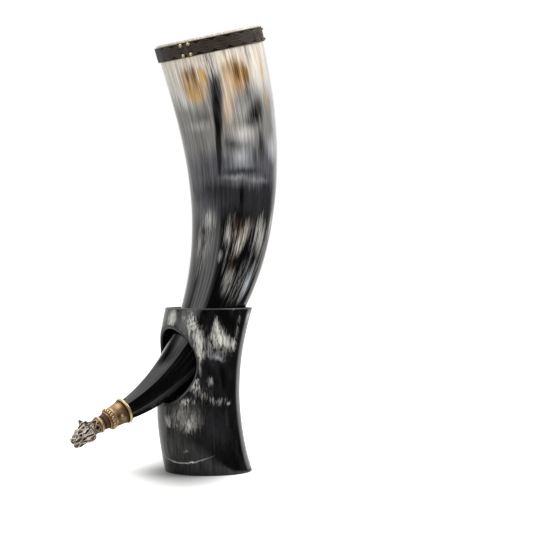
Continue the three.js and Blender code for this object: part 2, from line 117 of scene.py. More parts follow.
class HornColours(PropertyGroup):
    """What horn is coloured, from its pale root to its black tip."""

    cream: colour("Cream", "Pale root of the horn", "#e2d8c9")
    bone: colour("Bone", "Grey-white flecks and bands", "#d8d5ce")
    mist: colour("Mist", "Bluish pale bands", "#b3b7bc")
    ash: colour("Ash", "Mid grey", "#84827f")
    slate: colour("Slate", "Dark grey with a blue cast", "#58585d")
    charcoal: colour("Charcoal", "Nearly black grey", "#2b2b2d")
    black: colour("Black", "The horn's tip", "#070707")
    umber: colour("Umber", "Brown streaks", "#6e5130")
    rust: colour("Rust", "Red-brown in the flecks", "#3a2015")
    ochre: colour("Ochre", "Yellow-brown streaks", "#b88f5c")
    amber: colour("Amber", "Clear yellow streaks", "#d3ac68")
    peach: colour("Peach", "Warm pale streaks", "#d3bca2")
    soot: colour("Soot", "Cloudy patches in the stand's black", "#1c1c1e")
    # This grey is partly painted sheen: a painted reflection along the hole's bevel and a painted highlight
    # along the stand's top rim
    sanded: colour("Sanded", "Cut edges that are sanded round", "#434346")


class StandSettings(PropertyGroup):
    """The stand's sizes, which follow its CAD solid."""

    wall: size("Wall", "Wall of the horn section", 4.2)
    bow: size("Bow", "How far its middle stands towards the tip's side", 11.5)
    waist: size("Waist", "How much narrower it is at half height", 1.6)
    edge: size("Edge", "Rounding of its cut ends", 1.2)
    hole_bottom: size("Hole bottom", "Height of the hole's lower edge", 60.93)
    hole_top: size("Hole top", "Height of the hole's upper edge", 124.19)
    hole_half_width: size("Hole half width", "Half the hole's width", 28.68)
    hole_edge: size("Hole edge", "Wide rounding of the hole's outer edge", 3.4)
    ripple: size("Ripple", "Unevenness that hand polishing leaves", 0.2)


class BandSettings(PropertyGroup):
    """The rim band's sizes and colours."""

    strips: IntProperty(name="Strips", description="Leather strips butted round the rim", default=3, min=1)
    drop: size("Drop", "Bare horn above the band", 1.8)
    height: size("Height", "Width of the leather", 13)
    thickness: size("Thickness", "Thickness of the leather", 1.4)
    butt_gap: size("Butt gap", "Between the ends of two strips", 0.5)
    first_seam: turn("First seam", "Round from the tip's side, towards +Y", -30.5)
    relief: size("Relief", "Depth of the embossing", 0.5)
    plait_pitch: size("Plait pitch", "Length of one wave of the plait", 27)
    leather: colour("Leather", "Dyed face of the leather", "#110e0d")
    worn: colour("Worn leather", "Where the dye has rubbed thin", "#554a40")
    raw_edge: colour("Raw edge", "Cut edge of the leather", "#7b5235")


class TackSettings(PropertyGroup):
    """The sizes of the rim's tacks and the ferrule's pins."""

    head_radius: size("Tack head radius", "Radius of a tack's dome", 1.5)
    head_height: size("Tack head height", "Height of a tack's dome", 1)
    shank_radius: size("Tack shank radius", "Radius of a tack's shank", 0.6)
    bite: size("Tack bite", "Tack in the horn", 2.2)
    from_seam: size("From seam", "Tack's distance from its seam", 3.5)
    from_edge: size("From edge", "Tack's distance from the band's edge", 2.1)
    pin_radius: size("Pin head radius", "Radius of a ferrule pin's dome", 1.1)
    pin_height: size("Pin head height", "Height of a ferrule pin's dome", 0.7)
    pin_shank: size("Pin shank radius", "Radius of a ferrule pin's shank", 0.55)
    pin_bite: size("Pin bite", "Pin in the horn", 3)
    pin_from_lip: size("Pin from lip", "Pin's distance from the ferrule's lip", 9)


class FittingSettings(PropertyGroup):
    """The tip fitting's sizes, along the fitting from the ferrule's lip, and its colours."""

    ferrule_wall: size("Ferrule wall", "Wall of the ferrule's cup", 1.3)
    ferrule_length: size("Ferrule length", "Length of the ferrule's cup", 15)
    lip_radius: size("Lip radius", "Outside the ferrule's rolled lip", 11.4)
    lip_width: size("Lip width", "Width of the rolled lip", 2.2)
    rope_radius: size("Rope ring radius", "To the middle of the rope", 8.3)
    rope_thickness: size("Rope thickness", "Thickness of the rope ring", 3)
    rope_turns: IntProperty(name="Rope strands", description="Strands round the ring", default=22, min=3)
    rope_groove: size("Rope groove", "Depth between two strands", 0.6)
    neck_top: size("Neck top radius", "Sleeve at the rope ring", 7.5)
    neck_waist: size("Neck waist radius", "Sleeve at its waist", 6.1)
    neck_end: size("Neck end radius", "Sleeve at the plain ring", 6.2)
    neck_length: size("Neck length", "Length of the sleeve", 7.2)
    ring_radius: size("Neck ring radius", "Outside the plain ring", 7.3)
    ring_width: size("Neck ring width", "Width of the plain ring", 2.4)
    spigot_radius: size("Spigot radius", "Inner seat of the rings", 4.7)
    collar_radius: size("Collar radius", "Ends of the knotwork collar", 6.6)
    collar_waist: size("Collar waist", "Middle of the knotwork collar", 6)
    collar_length: size("Collar length", "Length of the knotwork collar", 6.2)
    strap_depth: size("Strap depth", "Depth of the collar's openwork", 1.2)
    stud_hole: size("Stud hole", "Radius of the bore for the stud", 2.3)
    brass_bright: colour("Bright brass", "Rings and pins, rubbed bright", "#ecd3a0")
    brass: colour("Brass", "Rubbed brass", "#cfac80")
    brass_dark: colour("Dark brass", "Brass under its patina", "#6d5138")
    bronze: colour("Bronze", "Rubbed straps of the collar", "#ab9175")
    bronze_dark: colour("Dark bronze", "Sides of the collar's straps", "#4c3a2b")
    cast: colour("Casting", "Rubbed ridges of the head", "#eae0d2")
    cast_dark: colour("Dark casting", "Slopes between the head's ridges and recesses", "#75614f")
    patina: colour("Patina", "Black left in the recesses", "#1a120b")
    steel: colour("Steel", "The stud inside", "#a3a6a8")
    steel_dark: colour("Dark steel", "Mottle in the stud's steel", "#7d8083")


class StageSettings(PropertyGroup):
    """The camera and the floor."""

    azimuth: turn("Camera azimuth", "Camera's turn from looking along +Y", -35)
    camera_height: size("Camera height", "Height of the level camera", 177.5)
    distance: size("Distance", "Camera to the stand's axis", 1383.3)
    aside: size("Aside", "Camera to the right of the stand's axis", 50.03)
    lens: FloatProperty(name="Lens", description="Focal length in mm on a 36 mm sensor", default=107.4)
    floor: colour("Floor", "Plain pale floor", "#f4f3f1")


class DrinkingHornSettings(PropertyGroup):
    """All the settings of the drinking horn."""

    horn: PointerProperty(type=HornSettings)
    colours: PointerProperty(type=HornColours)
    stand: PointerProperty(type=StandSettings)
    band: PointerProperty(type=BandSettings)
    tacks: PointerProperty(type=TackSettings)
    fitting: PointerProperty(type=FittingSettings)
    stage: PointerProperty(type=StageSettings)


# The horn's curve


class HornCurve:
    """The horn's centreline where the CAD horn is, and places round it.

    Distances run along the curve from the mouth, and angles go round from the tip's side towards +Y.
    """

    STEPS = 240

    def __init__(self, horn):
        self.horn = horn
        self.stride = horn.length / self.STEPS
        self.line = [Vector()]
        for step in range(self.STEPS):
            lean = self.lean((step + 0.5) / self.STEPS)
            self.line.append(self.line[-1] + Vector((-math.sin(lean), 0, -math.cos(lean))) * self.stride)
        low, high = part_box("horn_cup")
        seat, _, _ = self.at(horn.length - horn.sunk_length)
        rings = [step * self.stride for step in range(self.STEPS + 1)]
        reach = max(self.point(along, math.pi, self.radius(along)).x for along in rings)
        seat_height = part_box("horn_stand")[1].z
        shift = Vector((high.x - reach, (low.y + high.y) / 2, seat_height - seat.z))
        self.line = [place + shift for place in self.line]

    def lean(self, share):
        """The curve's lean from straight down, at a share of the way to the tip."""
        horn = self.horn
        return horn.mouth_lean + (horn.tip_lean - horn.mouth_lean) * share ** horn.bend_power

    def at(self, along):
        """A place on the curve, the way on to the tip, and the way out to the tip's side."""
        inside = min(max(along, 0), self.horn.length)
        step = min(int(inside / self.stride), self.STEPS - 1)
        lean = self.lean(inside / self.horn.length)
        onward = Vector((-math.sin(lean), 0, -math.cos(lean)))
        tip_side = Vector((-math.cos(lean), 0, math.sin(lean)))
        origin = self.line[step].lerp(self.line[step + 1], inside / self.stride - step)
        return origin + onward * (along - inside), onward, tip_side

    def radius(self, along):
        """The horn's outside."""
        horn = self.horn
        share = min(max(along / horn.length, 0), 1)
        return horn.tip_radius + (horn.mouth_radius - horn.tip_radius) * (1 - share ** horn.taper_power)

    def hollow_radius(self, along):
        """The horn's inside, down to the hollow's rounded bottom."""
        horn = self.horn
        wall = horn.mouth_wall + (horn.floor_wall - horn.mouth_wall) * along / horn.hollow_depth
        into_dome = max(0, along - (horn.hollow_depth - horn.hollow_dome)) / horn.hollow_dome
        return (self.radius(along) - wall) * math.sqrt(max(0, 1 - into_dome ** 2))

    def outward(self, along, angle):
        """The way out from the curve at an angle."""
        _, _, tip_side = self.at(along)
        return tip_side * math.cos(angle) + Vector((0, math.sin(angle), 0))

    def point(self, along, angle, radius):
        """A point round the horn, drawn up or down the curve near the mouth by its slant."""
        horn = self.horn
        slant = math.tan(horn.mouth_slant) * max(0, 1 - along / horn.slant_length)
        drawn = along - slant * radius * math.cos(angle)
        return self.at(drawn)[0] + self.outward(drawn, angle) * radius

    def tip_place(self):
        """The tip fitting's own frame: +Z runs out of the horn, +X is up."""
        origin, onward, tip_side = self.at(self.horn.length)
        place = Matrix((tip_side, onward.cross(tip_side), onward)).transposed().to_4x4()
        place.translation = origin
        return place


# Mesh helpers


def arc(centre, radii, start, end, steps):
    """Points of an elliptical arc, from one angle in degrees to another."""
    points = []
    for step in range(steps + 1):
        angle = math.radians(start + (end - start) * step / steps)
        points.append((centre[0] + radii[0] * math.cos(angle), centre[1] + radii[1] * math.sin(angle)))
    return points


def sweep(start, pull, end, steps):
    """Points of a curve from start to end that leans towards pull."""
    points = []
    for step in range(steps + 1):
        t = step / steps
        weights = ((1 - t) ** 2, 2 * t * (1 - t), t ** 2)
        points.append(tuple(sum(w * p[i] for w, p in zip(weights, (start, pull, end))) for i in (0, 1)))
    return points


def straight(start, end, steps):
    """Points evenly spaced from start to end."""
    return sweep(start, ((start[0] + end[0]) / 2, (start[1] + end[1]) / 2), end, steps)


def spun(profile, steps, closed=False):
    """Spins a profile of (radius, height) points round Z."""
    shape = bmesh.new()
    verts = [shape.verts.new((radius, 0, height)) for radius, height in profile]
    edges = [shape.edges.new(pair) for pair in zip(verts, verts[1:])]
    if closed:
        edges.append(shape.edges.new((verts[-1], verts[0])))
    bmesh.ops.spin(
        shape, geom=verts + edges, cent=(0, 0, 0), axis=(0, 0, 1), angle=math.tau, steps=steps,
        use_merge=True)
    bmesh.ops.remove_doubles(shape, verts=shape.verts, dist=0.001 * MM)
    bmesh.ops.recalc_face_normals(shape, faces=shape.faces)
    return shape


def mark_recesses(shape, passes, depth):
    """Stores how far each point lies below its smoothed surroundings, as a share of a depth."""
    layer = shape.verts.layers.float.new("recess")
    shape.normal_update()
    smooth = shape.copy()
    for _ in range(passes):
        bmesh.ops.smooth_vert(
            smooth, verts=smooth.verts, factor=0.5, use_axis_x=True, use_axis_y=True, use_axis_z=True)
    smooth.verts.ensure_lookup_table()
    for vert in shape.verts:
        vert[layer] = (smooth.verts[vert.index].co - vert.co).dot(vert.normal) / depth
    smooth.free()


def finish_piece(shape, name, materials, body, nodes, sharp=50):
    """Makes the piece from its bmesh, rides it on its body and lets it stand for its CAD nodes."""
    mesh = bpy.data.meshes.new(name)
    shape.to_mesh(mesh)
    shape.free()
    for material in materials:
        mesh.materials.append(material)
    mesh.shade_smooth()
    mesh.set_sharp_from_angle(angle=math.radians(sharp))
    piece = bpy.data.objects.new(name, mesh)
    bpy.context.scene.collection.objects.link(piece)
    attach(piece, body)
    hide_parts(*nodes)
    return piece


# Materials


def give(tree, node, inputs):
    """Gives each named input of a node a value, or a link from a socket or a node's first output."""
    for key, value in inputs.items():
        source = value.outputs[0] if isinstance(value, bpy.types.Node) else value
        if isinstance(source, bpy.types.NodeSocket):
            tree.links.new(source, node.inputs[key])
        else:
            node.inputs[key].default_value = source


def add(tree, kind, inputs=None, stops=(), **settings):
    """Adds a shader node with its inputs, its colour stops and its properties."""
    made = tree.nodes.new("ShaderNode" + kind)
    for name, value in settings.items():
        setattr(made, name, value)
    give(tree, made, inputs or {})
    for index, (position, shade) in enumerate(stops):
        elements = made.color_ramp.elements
        stop = elements[index] if index < 2 else elements.new(position)
        stop.position = position
        stop.color = shade
    return made


def new_material(name):
    """A bare material with its shader ready."""
    material = bpy.data.materials.new(name)
    material.use_nodes = True
    tree = material.node_tree
    tree.nodes.clear()
    shader = add(tree, "BsdfPrincipled")
    add(tree, "OutputMaterial", {"Surface": shader})
    return material, tree, shader


def fibres(tree, place, width, length, detail=3):
    """Noise drawn out along the grain, as fibres of a width and a length."""
    drawn = add(tree, "Mapping", {"Vector": place, "Scale": (1 / width, 1 / width, 1 / length)})
    return add(tree, "TexNoise", {
        "Vector": drawn, "Scale": 1, "Detail": detail, "Roughness": 0.6})


class Mark:
    """A mark in horn: an oval that the grain tears.

    Its colour, the angle round from the tip's side, the distance along in mm, its half width in degrees,
    its half length in mm, its turn in degrees, its strength, how the grain tears it, and how soft it is.
    """

    EDGE = 0.3  # how near the middle its edge lies: 0 is the outside, 1 the middle
    THINNED = 0.4  # what tearing takes off the whole mark
    HARD_EDGE = 0.08  # how wide the edge is where the mark isn't soft
    SOFT_OUT = 0.9  # how far softness spreads the edge outward, as a share of the way
    SOFT_IN = 0.65  # how far it spreads the edge inward

    def __init__(self, paint, angle, along, half_width, half_length, turned, strength, torn, soft):
        self.paint = paint
        self.angle = math.radians(angle)
        self.along = along * MM
        self.half_width = math.radians(half_width)
        self.half_length = half_length * MM
        self.turned = math.radians(turned)
        self.strength = strength
        self.torn = torn
        self.soft = soft

    def lay(self, tree, shade, place, grain, centre, facing, radius, depth, colours):
        """Mixes the mark over a colour, at a place that faces an angle round Z."""
        reach = (depth, radius * self.half_width / (1 - self.EDGE), self.half_length / (1 - self.EDGE))
        spot = add(tree, "Mapping", {
            "Vector": place, "Location": centre, "Rotation": (-self.turned, 0, facing), "Scale": reach},
            vector_type="TEXTURE")
        near = add(tree, "TexGradient", {"Vector": spot}, gradient_type="SPHERICAL").outputs[1]
        tear = add(tree, "Math", {0: grain, 1: self.torn, 2: 1 - self.THINNED * self.torn},
                   operation="MULTIPLY_ADD")
        edge = add(tree, "Math", {0: near, 1: tear}, operation="MULTIPLY")
        cover = add(tree, "MapRange", {
            "Value": edge, "From Min": self.EDGE * (1 - self.SOFT_OUT * self.soft),
            "From Max": self.EDGE + self.HARD_EDGE + self.SOFT_IN * self.soft, "To Max": self.strength},
            interpolation_type="SMOOTHSTEP")
        paint = getattr(colours, self.paint)
        return add(tree, "Mix", {0: cover, 6: shade, 7: paint}, data_type="RGBA").outputs[2]


# The horn's marks on the side that shows, from its mouth to its tip
HORN_MARKS = (
    Mark("bone", -80, 68, 60, 20, 0, 0.5, 0.7, 0.9),
    Mark("cream", -106, 20, 34, 24, 0, 1.0, 0.4, 0.7),
    Mark("cream", -22, 17, 20, 9, 0, 0.9, 0.5, 0.5),
    Mark("slate", -50, 20, 9, 18, 0, 0.8, 0.9, 0.5),
    Mark("slate", -68, 16, 4, 12, 0, 0.5, 1.0, 0.6),
    Mark("slate", -96, 22, 4, 18, 0, 0.6, 1.0, 0.6),
    Mark("ochre", -26, 40, 20, 20, 0, 0.95, 0.4, 0.45),
    Mark("umber", -27, 29, 16, 7, 0, 0.5, 0.4, 0.7),
    Mark("umber", -30, 33, 4, 12, 0, 0.5, 0.5, 0.5),
    Mark("rust", -22, 31, 3, 8, 0, 0.4, 0.6, 0.6),
    Mark("amber", -41, 34, 5, 11, 0, 0.95, 0.5, 0.4),
    Mark("cream", -34.5, 30, 1.2, 14, 0, 0.8, 0.5, 0.4),
    Mark("cream", -25, 34, 1, 13, 0, 0.6, 0.6, 0.5),
    Mark("cream", -18, 32, 1.2, 12, 0, 0.6, 0.6, 0.5),
    Mark("amber", -24, 50, 12, 8, 0, 0.7, 0.5, 0.8),
    Mark("ochre", -76, 39, 21, 20, 0, 0.95, 0.4, 0.4),
    Mark("amber", -67, 38, 5, 16, 0, 0.8, 0.6, 0.5),
    Mark("umber", -68, 31, 6, 10, 0, 0.6, 0.6, 0.6),
    Mark("umber", -76, 33, 10, 12, 0, 0.8, 0.5, 0.6),
    Mark("rust", -79, 35, 3, 10, 0, 0.5, 0.7, 0.6),
    Mark("umber", -87, 40, 6, 14, 0, 0.8, 0.6, 0.5),
    Mark("cream", -72.5, 36, 1, 14, 0, 0.6, 0.6, 0.5),
    Mark("amber", -82, 38, 1.6, 14, 0, 0.8, 0.6, 0.5),
    Mark("amber", -114, 40, 5, 13, 0, 0.7, 0.7, 0.5),
    Mark("slate", -86, 55, 12, 13, 8, 0.85, 0.7, 0.8),
    Mark("ash", -20, 66, 30, 9, 0, 0.8, 0.6, 0.9),
    Mark("slate", -30, 70, 14, 7, 0, 0.7, 0.6, 0.9),
    Mark("bone", -18, 78, 22, 6, 0, 0.4, 0.8, 0.9),
    Mark("peach", -62, 54, 9, 30, 11, 0.9, 0.3, 0.6),
    Mark("ochre", -57, 74, 4, 18, 10, 0.3, 0.5, 0.8),
    Mark("slate", -51, 36, 10, 16, 0, 0.75, 0.6, 0.8),
    Mark("charcoal", -51, 42, 8, 14, 2, 0.9, 0.4, 0.7),
    Mark("black", -50.5, 50, 9, 18, 4, 0.85, 0.2, 0.5),
    Mark("black", -47, 69, 6.6, 24, 5, 0.9, 0.15, 0.3),
    Mark("black", -42.5, 96, 4.4, 38, 5, 0.95, 0.15, 0.3),
    Mark("charcoal", -95, 74, 14, 15, -8, 0.8, 0.6, 0.8),
    Mark("black", -97, 66, 9, 11, -8, 0.7, 0.4, 0.7),
    Mark("black", -91, 74, 14, 11, -12, 0.95, 0.4, 0.65),
    Mark("charcoal", -82, 80, 9, 8, 0, 0.85, 0.6, 0.8),
    Mark("amber", -113, 62, 3, 16, 0, 0.8, 0.6, 0.5),
    Mark("mist", -136, 66, 16, 62, 0, 0.8, 0.5, 0.8),
    Mark("slate", -2, 92, 26, 20, 0, 0.4, 0.7, 0.9),
    Mark("slate", -24, 110, 22, 16, 0, 0.5, 0.7, 0.9),
    Mark("charcoal", -58, 97, 14, 10, 0, 0.9, 0.5, 0.8),
    Mark("bone", -72, 89, 17, 9, 0, 0.75, 0.4, 0.8),
    Mark("mist", -69, 110, 17, 14, 0, 0.6, 0.4, 0.8),
    Mark("bone", -67, 108, 8, 7, 0, 0.25, 0.4, 0.9),
    Mark("charcoal", -96, 99, 7, 16, 0, 0.95, 0.5, 0.6),
    Mark("charcoal", -86, 110, 4, 12, 0, 0.8, 0.5, 0.7),
    Mark("mist", -118, 103, 12, 13, 0, 0.95, 0.4, 0.8),
    Mark("black", -70, 122, 30, 4, 0, 0.75, 0.4, 0.8),
    Mark("ash", -66, 131, 34, 6, 0, 0.32, 0.5, 1.0),
    Mark("mist", -60, 127.5, 20, 3, 0, 0.35, 0.3, 1.0),
    Mark("mist", -92, 130, 20, 3, 0, 0.3, 0.4, 1.0),
    Mark("black", -68, 144, 3.5, 16, 0, 1.0, 0.3, 0.6),
    Mark("black", -62, 162, 24, 12, 0, 0.9, 0.7, 0.7),
    Mark("slate", -12, 156, 30, 19, 0, 0.9, 0.3, 0.8),
    Mark("ash", -20, 170, 16, 16, 0, 0.9, 1.2, 0.5),
    Mark("ash", -6, 192, 8, 22, 0, 0.85, 1.2, 0.5),
    Mark("bone", -22, 168, 13, 11, 0, 0.6, 1.0, 0.8),
    Mark("ash", -22, 192, 14, 26, 0, 0.7, 1.4, 0.5),
    Mark("ash", -54, 176, 12, 22, 0, 0.8, 1.4, 0.4),
    Mark("rust", -64, 178, 12, 18, 15, 0.9, 0.9, 0.6),
    Mark("ash", -62, 194, 12, 30, 8, 0.8, 1.5, 0.4),
    Mark("bone", -53, 182, 7, 12, 0, 0.6, 1.0, 0.7),
    Mark("cream", -76, 180, 9, 19, 20, 0.72, 0.95, 0.7),
    Mark("bone", -72, 190, 8, 13, 20, 0.6, 1.0, 0.7),
    Mark("ash", -100, 178, 14, 22, 6, 0.8, 1.4, 0.4),
    Mark("bone", -101, 172, 10, 14, 0, 0.7, 1.0, 0.7),
    Mark("ash", -118, 186, 14, 30, 8, 0.8, 1.4, 0.4),
    Mark("bone", -130, 166, 6, 16, 0, 0.9, 0.8, 0.5),
    Mark("bone", -108, 178, 12, 15, 6, 0.5, 0.8, 0.8),
    Mark("bone", -8, 196, 14, 18, 0, 0.45, 0.9, 0.8),
    Mark("mist", -47, 201, 5, 7, 0, 0.6, 0.8, 0.7),
    Mark("rust", -66, 207, 8, 12, 8, 0.8, 0.9, 0.7),
    Mark("bone", -70, 222, 11, 15, 0, 0.62, 1.1, 0.7),
    Mark("mist", -106, 217, 10, 20, 8, 0.95, 0.8, 0.6),
    Mark("ash", -90, 218, 12, 26, 8, 0.8, 1.5, 0.4),
    Mark("ash", -10, 210, 8, 20, 0, 0.8, 1.3, 0.4),
    Mark("slate", -114, 326, 15, 54, 0, 0.33, 0.2, 0.15),
)
NEAR_AND_FAR = (0, math.pi)  # the far side is taken to be marked like the near side

# Ground colour of the horn, and of its hollow, by distance from the mouth in mm
HORN_GROUND = (
    (0, "cream"), (24, "cream"), (44, "bone"), (62, "ash"), (98, "ash"), (114, "slate"), (126, "slate"),
    (138, "charcoal"), (156, "charcoal"), (174, "black"),
)
HOLLOW_GROUND = ((0, "cream"), (45, "peach"), (110, "ochre"), (170, "umber"), (230, "rust"))

NARROW_FIBRE = 0.8 * MM
TEAR_SPREAD = 2.2  # what spreads the sum of two noises to about -1 to 1


def ground_colour(tree, place, ground, colours):
    """The colour by distance along the horn."""
    along = add(tree, "SeparateXYZ", {0: place}).outputs["Z"]
    end = ground[-1][0]
    share = add(tree, "MapRange", {"Value": along, "From Max": end * MM})
    stops = [(distance / end, getattr(colours, paint)) for distance, paint in ground]
    return add(tree, "ValToRGB", {0: share}, stops)


def ragged(tree, place, width, length, tear):
    """A place shifted by streaky noise, so that what is drawn there gets torn ends."""
    streaks = fibres(tree, place, width, length).outputs["Color"]
    half_back = tuple(-t / 2 for t in tear)
    shift = add(tree, "VectorMath", {0: streaks, 1: tear, 2: half_back}, operation="MULTIPLY_ADD")
    return add(tree, "VectorMath", {0: place, 1: shift}, operation="ADD")


def grain_tear(tree, place, wide_fibre, long_fibre, short_fibre):
    """How wide and narrow fibres strengthen or weaken a mark, from about -1 to 1."""
    long_grain = fibres(tree, place, wide_fibre, long_fibre)
    short_grain = fibres(tree, place, NARROW_FIBRE, short_fibre)
    both = add(tree, "Math", {0: long_grain, 1: short_grain}, operation="ADD")
    return add(tree, "Math", {0: both, 1: TEAR_SPREAD, 2: -TEAR_SPREAD}, operation="MULTIPLY_ADD")


def buff(tree, shader, place, shade):
    """Finishes polished horn: fibres in its colour, a buffed and streaked gloss, and faint scratches.

    Horn's own fibres are finer. These are as coarse as they need to be to show.
    """
    fine = fibres(tree, place, 1.1 * MM, 45 * MM)
    broad = fibres(tree, place, 2.6 * MM, 70 * MM)
    level = add(tree, "MapRange", {
        "Value": fine, "From Min": 0.3, "From Max": 0.7, "To Min": 0.5, "To Max": 1.3})
    streaked = add(tree, "Mix", {0: 1.0, 6: shade, 7: level}, data_type="RGBA", blend_type="MULTIPLY")
    gloss = add(tree, "MapRange", {
        "Value": fine, "From Min": 0.3, "From Max": 0.7, "To Min": 0.07, "To Max": 0.13})
    sheen = add(tree, "MapRange", {
        "Value": broad, "From Min": 0.36, "From Max": 0.64, "To Min": 0.28, "To Max": 0.68})
    scratch = add(tree, "Bump", {"Strength": 0.35, "Distance": 0.06 * MM, "Height": fine})
    give(tree, shader, {
        "Base Color": streaked.outputs[2], "Roughness": gloss, "Specular IOR Level": sheen,
        "Normal": scratch, "IOR": 1.54})


def polished_horn(horn, colours):
    """Ox horn, scraped and buffed: glossy, cream at the root and black at the tip, streaked lengthwise."""
    material, tree, shader = new_material("Polished ox horn")
    place = add(tree, "Attribute", attribute_name="grain").outputs["Vector"]
    uneven = ragged(tree, place, 9 * MM, 60 * MM, (0, 0, 40 * MM))
    torn = ragged(tree, uneven, 1.2 * MM, 25 * MM, (0, 0, 26 * MM))
    ground = ground_colour(tree, torn, HORN_GROUND, colours)
    hairs = fibres(tree, place, 0.9 * MM, 70 * MM, detail=2)
    dark_hairs = add(tree, "MapRange", {
        "Value": hairs, "From Min": 0.6, "From Max": 0.72, "To Max": 0.45})
    shade = add(tree, "Mix", {0: dark_hairs, 6: ground, 7: colours.slate}, data_type="RGBA").outputs[2]
    tear = grain_tear(tree, place, 1.6 * MM, 30 * MM, 14 * MM)
    frayed = ragged(tree, place, 1.2 * MM, 30 * MM, (0.8 * MM, 0.8 * MM, 7 * MM))
    radius = horn.mouth_radius
    for turned in NEAR_AND_FAR:
        for mark in HORN_MARKS:
            facing = mark.angle + turned
            centre = (radius * math.cos(facing), radius * math.sin(facing), mark.along)
            shade = mark.lay(tree, shade, frayed, tear, centre, facing, radius, radius, colours)
    buff(tree, shader, place, shade)
    return material


def scraped_hollow(colours):
    """The horn's hollow, scraped and sealed: satin, cream at the mouth and brown below."""
    material, tree, shader = new_material("Scraped and sealed horn")
    place = add(tree, "Attribute", attribute_name="grain").outputs["Vector"]
    torn = ragged(tree, place, 1.3 * MM, 22 * MM, (4 * MM, 4 * MM, 30 * MM))
    buff(tree, shader, place, ground_colour(tree, torn, HOLLOW_GROUND, colours))
    return material


# The stand's marks on the side that shows: grey haze, and the flecks in it from the top to the foot
STAND_MARKS = (
    Mark("slate", -66, 110, 46, 18, 0, 0.32, 0.6, 0.9),
    Mark("slate", -62, 72, 26, 12, 0, 0.22, 0.7, 0.9),
    Mark("ash", -36, 50, 32, 16, 0, 0.62, 0.5, 0.9),
    Mark("charcoal", -74, 40, 34, 26, 0, 0.75, 0.4, 0.9),
    Mark("bone", -5, 133, 11, 9, 0, 1.0, 0.35, 0.62),
    Mark("ash", -26, 134, 4, 3, 0, 0.9, 0.8, 0.62),
    Mark("ash", -42, 126, 14, 14, -10, 0.9, 1.3, 0.52),
    Mark("bone", -40, 128, 9, 12, -10, 0.75, 1, 0.6),
    Mark("bone", -52, 116, 9, 14, -12, 0.8, 0.7, 0.62),
    Mark("bone", -56, 105, 9, 11, -4, 0.95, 0.8, 0.62),
    Mark("ash", -59, 91, 3, 9, 0, 0.7, 1, 0.62),
    Mark("ash", -68, 112, 12, 12, 0, 0.85, 1.2, 0.62),
    Mark("bone", -74, 123, 6, 12, 0, 1.0, 0.7, 0.62),
    Mark("bone", -80, 117, 14, 11, 0, 1.0, 0.75, 0.62),
    Mark("bone", -93, 112, 9, 8, 0, 0.95, 0.6, 0.62),
    Mark("bone", -106, 111, 7, 6, 0, 0.95, 0.8, 0.62),
    Mark("ash", -106, 132, 4, 4, 0, 0.8, 0.8, 0.62),
    Mark("bone", -128, 133, 5, 6, 0, 0.9, 0.7, 0.62),
    Mark("ash", -82, 105, 26, 6, 0, 0.7, 1.1, 0.7),
    Mark("ash", -107, 122, 4, 9, 0, 0.7, 1, 0.6),
    Mark("mist", -82, 100, 13, 2.5, 20, 0.55, 0.6, 0.8),
    Mark("bone", -54, 77, 9, 7, 0, 0.95, 1, 0.52),
    Mark("ash", -74, 80, 5, 5, 0, 0.95, 1, 0.62),
    Mark("ash", -64, 69, 12, 6, 0, 0.8, 1.3, 0.62),
    Mark("bone", -42, 63, 13, 4, 0, 0.9, 1.2, 0.62),
    Mark("ash", -84, 63, 22, 4, 0, 0.9, 1.2, 0.62),
    Mark("bone", -103, 61, 4, 1.8, 0, 0.8, 0.9, 0.62),
    Mark("ash", -36, 49, 26, 13, 0, 0.85, 1.1, 0.6),
    Mark("ash", -46, 46, 14, 9, 0, 0.6, 1, 0.8),
    Mark("bone", -10, 46, 9, 6, 0, 0.6, 0.9, 0.7),
    Mark("bone", -43, 43, 10, 7, 0, 0.6, 0.9, 0.7),
    Mark("charcoal", -97, 47, 6, 11, 0, 0.8, 0.5, 0.6),
    Mark("ash", -33, 21, 5, 0.9, 0, 0.8, 0.5, 0.6),
)
MARK_DEPTH = 15 * MM  # how far into the wall a stand's mark reaches
GROWTH_LINE_ANGLE = math.radians(-24)
GROWTH_LINE_HEIGHT = 10.5 * MM
GROWTH_LINE_CURVE = 10.3  # how fast it climbs away from its lowest point, per metre
GROWTH_LINE_WIDTH = 0.9 * MM
GROWTH_LINE_REACH = (12 * MM, 27 * MM)  # where it begins to fade, and where it ends


def growth_line(tree, tube, place, patches):
    """How much of the pale growth line shows: it climbs from its lowest point, patchily, and fades out."""
    foot = tube.point(GROWTH_LINE_ANGLE, GROWTH_LINE_HEIGHT, 0)
    wavy = ragged(tree, place, 4 * MM, 4 * MM, (0, 0, 3 * MM))
    spot = add(tree, "Mapping", {
        "Vector": wavy, "Location": foot, "Rotation": (0, 0, math.pi - GROWTH_LINE_ANGLE)},
        vector_type="TEXTURE")
    axes = add(tree, "SeparateXYZ", {0: spot}).outputs
    climb = add(tree, "Math", {0: axes["Y"], 1: 2.0}, operation="POWER")
    off = add(tree, "Math", {0: climb, 1: -GROWTH_LINE_CURVE, 2: axes["Z"]}, operation="MULTIPLY_ADD")
    gap = add(tree, "Math", {0: off}, operation="ABSOLUTE")
    line = add(tree, "MapRange", {
        "Value": gap, "From Max": GROWTH_LINE_WIDTH, "To Min": 0.8, "To Max": 0})
    sideways = add(tree, "Math", {0: axes["Y"]}, operation="ABSOLUTE")
    ends = add(tree, "MapRange", {
        "Value": sideways, "From Min": GROWTH_LINE_REACH[0], "From Max": GROWTH_LINE_REACH[1],
        "To Min": 1.6, "To Max": 0})
    in_front = add(tree, "Math", {0: axes["X"], 1: -MARK_DEPTH}, operation="GREATER_THAN")
    faded = add(tree, "Math", {0: patches, 1: ends}, operation="MULTIPLY")
    patchy = add(tree, "Math", {0: faded, 1: in_front}, operation="MULTIPLY")
    return add(tree, "Math", {0: line, 1: patchy}, operation="MULTIPLY")


